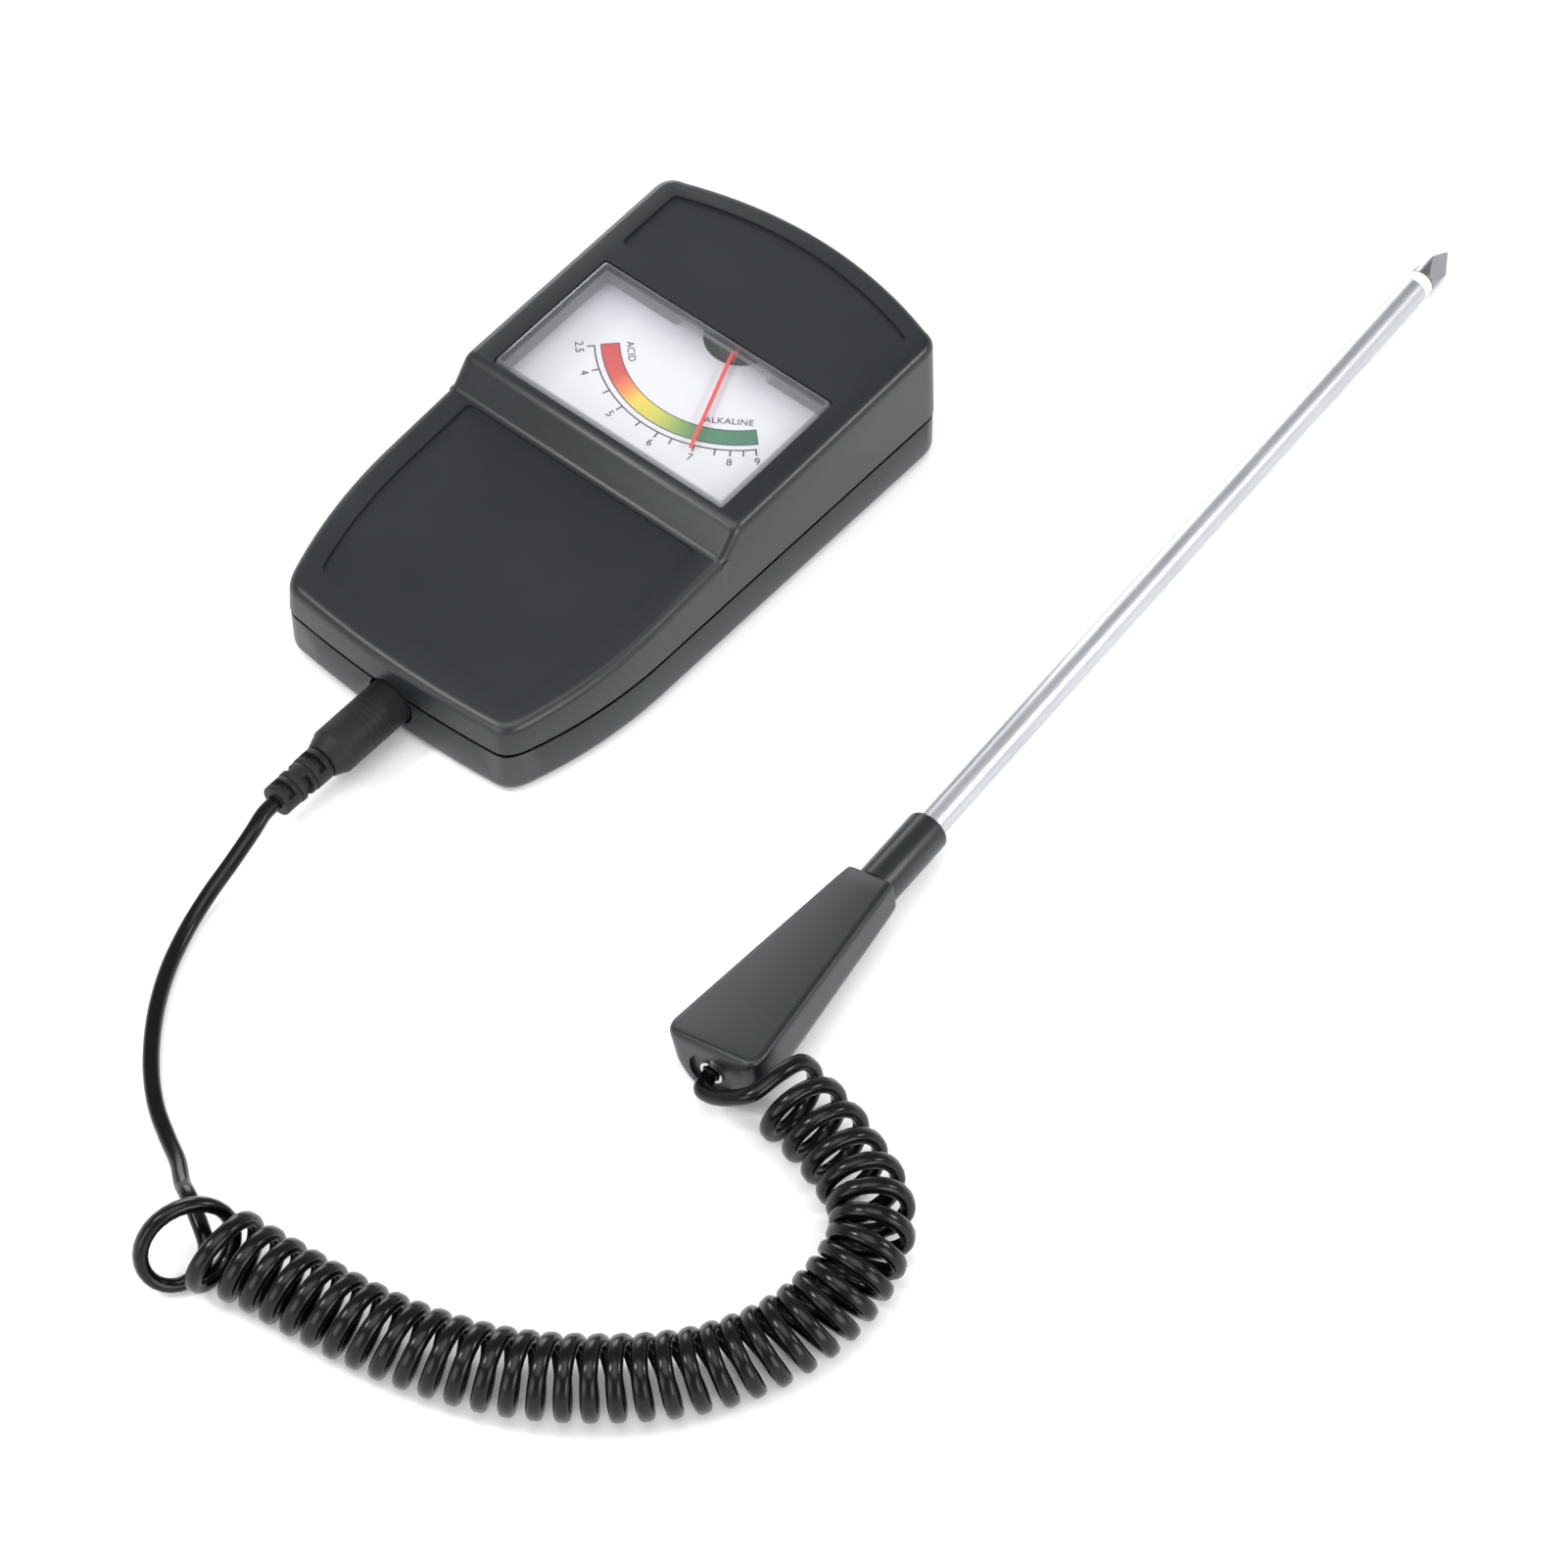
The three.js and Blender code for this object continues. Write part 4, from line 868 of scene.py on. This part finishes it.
PRINT_LIFT = 0.03
PRINT_THICKNESS = 0.04
BAND_INNER = 26.2
BAND_OUTER = 29.9
BAND_HALF_DEG = 46.5
BORDER_HALF_DEG = 46.8
BORDER = 0.22
TICK_HALF_WIDTH = 0.16
TICK_INNER = 31.5
TICK_OUTER = 33.0
NUMERAL_RADIUS = 34.7
TICKS = [-46.0, -34.0, -22.5, -13.0, -2.5, 6.3, 12.5, 21.8, 30.0, 35.8, 40.7, 45.5]
LABELS = [("2.5", -46.0), ("4", -34.0), ("5", -13.0), ("6", 6.3), ("7", 21.8), ("8", 35.8), ("9", 45.5)]


def dial_matrix():
    lens_top = far_height(WINDOW_CENTRE_Y) + LENS_PROUD
    z = lens_top - LENS_HEIGHT + TOP_SLOPE * (PIVOT[1] - WINDOW_CENTRE_Y)
    return Matrix.Translation(Vector((*PIVOT, z)) * MM) @ Matrix.Rotation(TILT, 4, "X")


DIAL = dial_matrix()


def dial_point(radius, degrees):
    """A place on the dial: 0 degrees points at the reader, positive turns to the right."""
    angle = math.radians(degrees)
    return radius * math.sin(angle), -radius * math.cos(angle)


def arc_strip(inner, outer, start_deg, end_deg, steps):
    outside = [dial_point(outer, start_deg + (end_deg - start_deg) * i / steps) for i in range(steps + 1)]
    inside = [dial_point(inner, start_deg + (end_deg - start_deg) * i / steps) for i in range(steps + 1)]
    return outside + list(reversed(inside))


def flat_print(name, outlines, paint, lift):
    """Thin closed shapes of ink lying on the dial."""
    work = bmesh.new()
    for outline in outlines:
        mesh = prism(outline, lift, lift + PRINT_THICKNESS)
        work.from_mesh(mesh)
        bpy.data.meshes.remove(mesh)
    mesh = bpy.data.meshes.new(name)
    work.to_mesh(mesh)
    work.free()
    mesh.transform(DIAL)
    made = new_object(name, mesh, [paint])
    stand_for(made, "meter", "dial_print")


def lettering(name, text, size, centre, degrees, spacing=1.0):
    """Thin raised letters, centred on a place of the dial and turned by some degrees."""
    curve = bpy.data.curves.new(name, "FONT")
    curve.body = text
    curve.size = size * MM
    curve.align_x = "CENTER"
    curve.align_y = "CENTER"
    curve.space_character = spacing
    curve.extrude = PRINT_THICKNESS * MM / 2
    made = bpy.data.objects.new(name, curve)
    bpy.context.scene.collection.objects.link(made)
    bpy.context.view_layer.update()
    graph = bpy.context.evaluated_depsgraph_get()
    mesh = bpy.data.meshes.new_from_object(made.evaluated_get(graph))
    bpy.data.objects.remove(made)
    turn = Matrix.Rotation(math.radians(degrees), 4, "Z")
    lift = PRINT_LIFT + PRINT_THICKNESS / 2
    mesh.transform(DIAL @ Matrix.Translation(Vector((*centre, lift)) * MM) @ turn)
    mesh.materials.clear()
    letters = new_object(name, outward(mesh), ["ink"])
    stand_for(letters, "meter", "dial_print")


def make_dial_print():
    band = arc_strip(BAND_INNER, BAND_OUTER, -BAND_HALF_DEG, BAND_HALF_DEG, 72)
    flat_print("print_band", [band], "band", PRINT_LIFT)
    end = BORDER_HALF_DEG
    lines = [
        arc_strip(31.25, 31.55, -46.3, 46.0, 72),
        arc_strip(BAND_OUTER, BAND_OUTER + BORDER, -end, end, 72),
        arc_strip(BAND_INNER - BORDER, BAND_INNER, -end, end, 72),
        arc_strip(BAND_INNER, BAND_OUTER, -end, -end + 0.4, 2),
        arc_strip(BAND_INNER, BAND_OUTER, end - 0.4, end, 2),
    ]
    half = math.degrees(TICK_HALF_WIDTH / 32.0)
    for degrees in TICKS:
        lines.append(arc_strip(TICK_INNER, TICK_OUTER, degrees - half, degrees + half, 2))
    flat_print("print_lines", lines, "ink", PRINT_LIFT)
    for text, degrees in LABELS:
        name = "numeral_" + text.replace(".", "_")
        lettering(name, text, 2.6, dial_point(NUMERAL_RADIUS, degrees), degrees)
    lettering("word_acid", "ACID", 2.3, dial_point(23.9, -40.5), -44.0, 1.05)
    lettering("word_alkaline", "ALKALINE", 2.25, dial_point(23.7, 33.5), 33.5, 1.05)


# ---------------------------------------------------------------- plug

def make_plug():
    end = PLUG_NOSE_Y - 20.1
    shoulder = end - 3.2
    nose = [(0.4, PLUG_NOSE_Y), (4.3, PLUG_NOSE_Y), (4.9, PLUG_NOSE_Y - 0.15), (5.2, PLUG_NOSE_Y - 0.5)]
    profile = nose + [(PLUG_RADIUS, PLUG_NOSE_Y - 1.0)]
    groove_pitch = 1.5
    floor = PLUG_RADIUS - 0.14
    for i in range(4):  # fine grip lines round the middle
        y = PLUG_NOSE_Y - 8.2 - groove_pitch * i
        profile += [(PLUG_RADIUS, y), (floor, y - 0.14), (floor, y - 0.36), (PLUG_RADIUS, y - 0.5)]
    profile += [(PLUG_RADIUS, end + 0.5), (5.22, end + 0.15), (5.0, end - 0.2)]
    profile += [(4.05, shoulder + 0.55), (3.85, shoulder + 0.25)]
    profile += [(3.5, shoulder + 0.15), (0.4, shoulder + 0.15)]
    body = new_object("plug_shell", lathe_y("plug_shell", profile, 56, 0.0, PLUG_Z), ["plug"], 40.0)
    stand_for(body, "lead_probe", "plug_vinyl", "plug_body")
    make_relief(shoulder - 0.1)
    return body


def make_relief(start_y):
    """The ribbed strain relief: three slotted blocks, each turned a quarter from the last."""
    length = 13.2
    block_length = length / 3
    sides = 48
    cord_bore = 1.8
    waist = 2.45
    slot_from, slot_to = 0.30, 0.72
    rings = []
    for b in range(3):
        near = start_y - b * block_length
        outer = 3.8 - 0.15 * b
        steps = [0.0, 0.04, slot_from, slot_from + 0.03, slot_to - 0.03, slot_to, 0.96, 1.0]
        for share in steps:
            y = near - share * block_length
            in_slot = slot_from < share < slot_to
            edge = 0.12 if share in (0.0, 1.0) else 0.0
            ring = []
            for i in range(sides):
                angle = 2 * math.pi * i / sides
                bridge = abs(math.cos(angle + b * math.pi / 2)) > 0.8
                radius = waist if in_slot and not bridge else outer - edge
                ring.append((radius * math.cos(angle), y, PLUG_Z + radius * math.sin(angle)))
            rings.append(ring)
        if b < 2:
            for y in (near - block_length + 0.02, near - block_length):
                rings.append([(a, y, PLUG_Z + c) for a, c in circle(waist * 1.25, sides)])
    last = rings[-1][0][1]
    for radius, y in ((2.6, last - 0.1), (cord_bore, last - 0.1)):
        rings.append([(a, y, PLUG_Z + c) for a, c in circle(radius, sides)])
    relief = new_object("plug_relief", grid_mesh("plug_relief", rings), ["plug"], 35.0)
    stand_for(relief, "lead_probe", "plug_vinyl", "plug_strain_relief")


# ---------------------------------------------------------------- probe

def in_probe(mesh):
    scale = Matrix.Scale(MM, 4)
    mesh.transform(scale @ PROBE @ scale.inverted())
    return mesh


def handle_ring(share, inset, y_shift=0.0, pinch=0.0):
    """One cross-section of the handle: flat top, leaning sides and a narrow foot, all rounded."""
    half = 5.8 + 6.0 * share - inset - pinch
    top = 4.9 + 1.1 * share - inset
    bottom = -5.1 - 3.9 * share + inset
    y = -COLLAR_LENGTH - HANDLE_LENGTH * share + y_shift
    foot = half * 0.5
    corners = [
        ((half, top), 1.7), ((half * 0.94, bottom * 0.45), 2.6), ((foot + 0.6, bottom), 1.9),
    ]
    corners = corners + [((-x, z), r) for (x, z), r in reversed(corners)]
    points = []
    count = len(corners)
    for i, ((x, z), radius) in enumerate(corners):
        here = Vector((x, z))
        before = Vector(corners[i - 1][0]) - here
        after = Vector(corners[(i + 1) % count][0]) - here
        reach = min(radius, 0.42 * before.length, 0.42 * after.length)
        a = here + before.normalized() * reach
        b = here + after.normalized() * reach
        points.append(tuple(a))
        points += curve_through(tuple(a), tuple(here), tuple(b), 6)
    return [(x, y, z) for x, z in points]


def make_handle():
    """The two shells: one whole handle, hollowed, bored and then parted along its length."""
    front_round = 0.8
    end_round = 1.2
    corner = 4.2
    rings = []
    for k in range(5):
        angle = math.radians(90.0 * k / 4)
        inset = front_round * (1 - math.sin(angle))
        rings.append(handle_ring(0.0, inset, -front_round * (1 - math.cos(angle))))
    for k in range(1, 12):
        rings.append(handle_ring(k / 12.0, 0.0))
    for left in (3.9, 3.2, 2.4, 1.6, 1.1, 0.6, 0.25, 0.0):
        pinch = corner - math.sqrt(corner ** 2 - (corner - left) ** 2)
        rounding = max(0.0, end_round - left)
        inset = end_round - math.sqrt(end_round ** 2 - rounding ** 2)
        share = 1.0 - left / HANDLE_LENGTH
        rings.append(handle_ring(share, inset, 0.0, max(0.0, pinch - inset) * 0.8))
    whole = new_object("handle_whole", grid_mesh("handle_whole", rings), ["handle"], 30.0)
    x, z = HANDLE_EXIT
    bore = ROD_RADIUS + 0.05
    screw_y = -COLLAR_LENGTH - 37.0
    inner = [handle_ring(share, 1.8) for share in (0.05, 0.93)]
    carve(
        whole,
        cutter(grid_mesh("hollow", inner)),
        cutter(lathe_y("front", [(bore, -COLLAR_LENGTH - 5), (bore, -COLLAR_LENGTH + 3)], 36)),
        cutter(lathe_y("recess", [(5.0, HANDLE_END_Y - 2), (5.0, HANDLE_END_Y + 0.9)], 48, x, z)),
        cutter(lathe_y("mouth", [(2.75, HANDLE_END_Y - 2), (2.75, HANDLE_END_Y + 5)], 36, x, z)),
        cutter(prism(circle(2.3, 28, 0.0, screw_y), -14.0, -5.8)),
        cutter(prism(circle(1.25, 20, 0.0, screw_y), -14.0, 2.5)),
    )
    for name, sign, node in (("handle_top", 1, "handle_upper"), ("handle_base", -1, "handle_lower")):
        half = new_object(name, whole.data.copy(), (), 30.0)
        carve(half, cutter(parting_slab(-sign)), sharp_deg=30.0)
        in_probe(half.data)
        stand_for(half, "lead_probe", "case_plastic", node)
    bpy.data.objects.remove(whole)


def parting_slab(sign):
    """A slab above (1) or below (-1) the surface where the handle's two shells meet."""
    near = HANDLE_END_Y - 20.0
    far = -COLLAR_LENGTH + 20.0
    z_far, z_near = -5.1 + 1.8, -9.0 + 3.4
    slope = (z_far - z_near) / HANDLE_LENGTH
    gap = sign * 0.09

    def meet(y):
        return z_near + slope * (y - HANDLE_END_Y) - gap

    plan = [(-30.0, near), (30.0, near), (30.0, far), (-30.0, far)]
    if sign > 0:
        return prism(plan, meet, 40.0)
    return prism(plan, -40.0, meet)


def rod_profile(name, profile, sides, hollow=False):
    return in_probe(lathe_y(name, profile, sides, hollow=hollow))


def make_rod():
    mouth_round = 0.9
    mouth = []
    for degrees in (90, 67.5, 45, 22.5, 0):
        angle = math.radians(degrees)
        radius = COLLAR_RADIUS - mouth_round * (1 - math.sin(angle))
        mouth.append((radius, -mouth_round * (1 - math.cos(angle))))
    inner = ROD_RADIUS + 0.12
    collar = [(inner, -COLLAR_LENGTH + 0.1), (COLLAR_RADIUS, -COLLAR_LENGTH + 0.1)]
    collar += mouth + [(inner, 0.0), (inner, -COLLAR_LENGTH + 0.1)]
    collar = new_object("probe_sleeve", rod_profile("probe_sleeve", collar, 56, True), ["handle"])
    stand_for(collar, "lead_probe", "case_plastic", "probe_collar")
    ring_start = ROD_TIP_Y - TIP_LENGTH - TIP_RING_LENGTH
    start = -COLLAR_LENGTH - 13.0
    bore = 2.4
    tube = [(bore, start), (ROD_RADIUS, start), (ROD_RADIUS, ring_start - 0.25)]
    tube += [(ROD_RADIUS - 0.12, ring_start - 0.1), (bore, ring_start - 0.1), (bore, start)]
    rod = new_object("probe_rod", rod_profile("probe_rod", tube, 64, True), ["rod"])
    stand_for(rod, "lead_probe", "rod_metal", "probe_tube")
    ring_end = ring_start + TIP_RING_LENGTH - 0.1
    band = [(0.9, ring_start), (ROD_RADIUS - 0.1, ring_start), (ROD_RADIUS, ring_start + 0.1)]
    band += [(ROD_RADIUS, ring_end - 0.1), (ROD_RADIUS - 0.1, ring_end), (0.9, ring_end), (0.9, ring_start)]
    ring = new_object("tip_ring", rod_profile("tip_ring", band, 64, True), ["ring"])
    stand_for(ring, "lead_probe", "white_plastic", "tip_insulator")
    make_tip()


def make_tip():
    base = ROD_TIP_Y - TIP_LENGTH
    flat_length = 11.0
    profile = [(ROD_RADIUS, base), (ROD_RADIUS, ROD_TIP_Y + 1.0)]
    tip = new_object("ground_tip", lathe_y("ground_tip", profile, 64), ["tip"])
    past_apex, past_foot = 3.0, 14.0
    half_width = 8.0
    depth = 9.0
    for k in range(3):
        # Each flat leaves the rod's side at the flats' start and meets the others on the axis.
        angle = math.radians(90.0 + 60.0 + 120.0 * k)
        out = Vector((math.cos(angle), 0.0, math.sin(angle)))
        side = Vector((-math.sin(angle), 0.0, math.cos(angle)))
        apex = Vector((0.0, ROD_TIP_Y, 0.0))
        down = (out * ROD_RADIUS - Vector((0.0, flat_length, 0.0))).normalized()
        normal = side.cross(down).normalized()
        if normal.dot(out) < 0:
            normal = -normal
        near, far = apex - down * past_apex, apex + down * past_foot
        across = side * half_width
        quad = [near - across, near + across, far + across, far - across]
        rings = [[tuple(p) for p in quad], [tuple(p + normal * depth) for p in quad]]
        carve(tip, cutter(grid_mesh("flat", rings)), sharp_deg=12.0)
    in_probe(tip.data)
    stand_for(tip, "lead_probe", "tip_metal", "probe_tip")


# ---------------------------------------------------------------- studio

# Name, place, the point it faces, size and watts.
SOFT_LIGHTS = [
    ("overhead", (0.25, -0.35, 1.7), (0.07, -0.05, 0.0), 1.3, 16.0),
    ("side_light", (1.5, -0.35, 0.55), (0.05, -0.02, 0.0), 0.9, 13.0),
    ("near_light", (-0.1, -1.5, 0.6), (0.03, -0.05, 0.0), 0.9, 9.0),
    ("far_light", (-1.3, 1.0, 0.5), (0.02, 0.0, 0.0), 0.8, 10.0),
    ("ridge_light", (-0.62, -0.75, 1.28), (0.0, 0.0, 0.03), 0.3, 9.0),
    ("rim_light", (1.1, 0.8, 1.0), (0.02, 0.0, 0.03), 0.36, 9.0),
]


def make_studio():
    floor_paint = Paint("studio_floor", roughness=0.9)
    mottling = floor_paint.noise(2.0, 2.0)
    floor_paint.tint(mottling, (0.93, 0.93, 0.93, 1.0), 0.995, 1.005)
    mesh = bpy.data.meshes.new("studio_floor")
    size = 6.0
    mesh.from_pydata(
        [(-size, -size, 0.0), (size, -size, 0.0), (size, size, 0.0), (-size, size, 0.0)],
        [], [(0, 1, 2, 3)],
    )
    floor = bpy.data.objects.new("studio_floor", mesh)
    bpy.context.scene.collection.objects.link(floor)
    mesh.materials.append(floor_paint.material)
    make_world()
    for light in SOFT_LIGHTS:
        soft_light(*light)


def make_world():
    """White surroundings, brighter low down and dimmer overhead."""
    world = bpy.data.worlds.new("studio_world")
    world.use_nodes = True
    tree = world.node_tree
    place = tree.nodes.new("ShaderNodeTexCoord")
    split = tree.nodes.new("ShaderNodeSeparateXYZ")
    ramp = tree.nodes.new("ShaderNodeValToRGB")
    stops = [(0.0, 1.0), (0.25, 0.75), (0.5, 0.42), (1.0, 0.5)]
    while len(ramp.color_ramp.elements) < len(stops):
        ramp.color_ramp.elements.new(0.5)
    for element, (position, level) in zip(ramp.color_ramp.elements, stops):
        element.position = position
        element.color = (level, level, level, 1.0)
    tree.links.new(place.outputs["Generated"], split.inputs["Vector"])
    tree.links.new(split.outputs["Z"], ramp.inputs["Fac"])
    tree.links.new(ramp.outputs["Color"], tree.nodes["Background"].inputs["Color"])
    bpy.context.scene.world = world


def soft_light(name, place, aim, size, watts):
    data = bpy.data.lights.new(name, "AREA")
    data.shape = "SQUARE"
    data.size = size
    data.energy = watts
    light = bpy.data.objects.new(name, data)
    light.location = place
    light.rotation_mode = "QUATERNION"
    light.rotation_quaternion = (Vector(aim) - Vector(place)).to_track_quat("-Z", "Y")
    bpy.context.scene.collection.objects.link(light)


make_camera()
lead, lead_path = make_lead()
paint_nodes()
make_front_cover()
make_rear_cover()
make_lens()
make_dial_print()
plug = make_plug()
make_handle()
make_rod()
make_studio()

bpy.context.scene.view_settings.view_transform = "Standard"
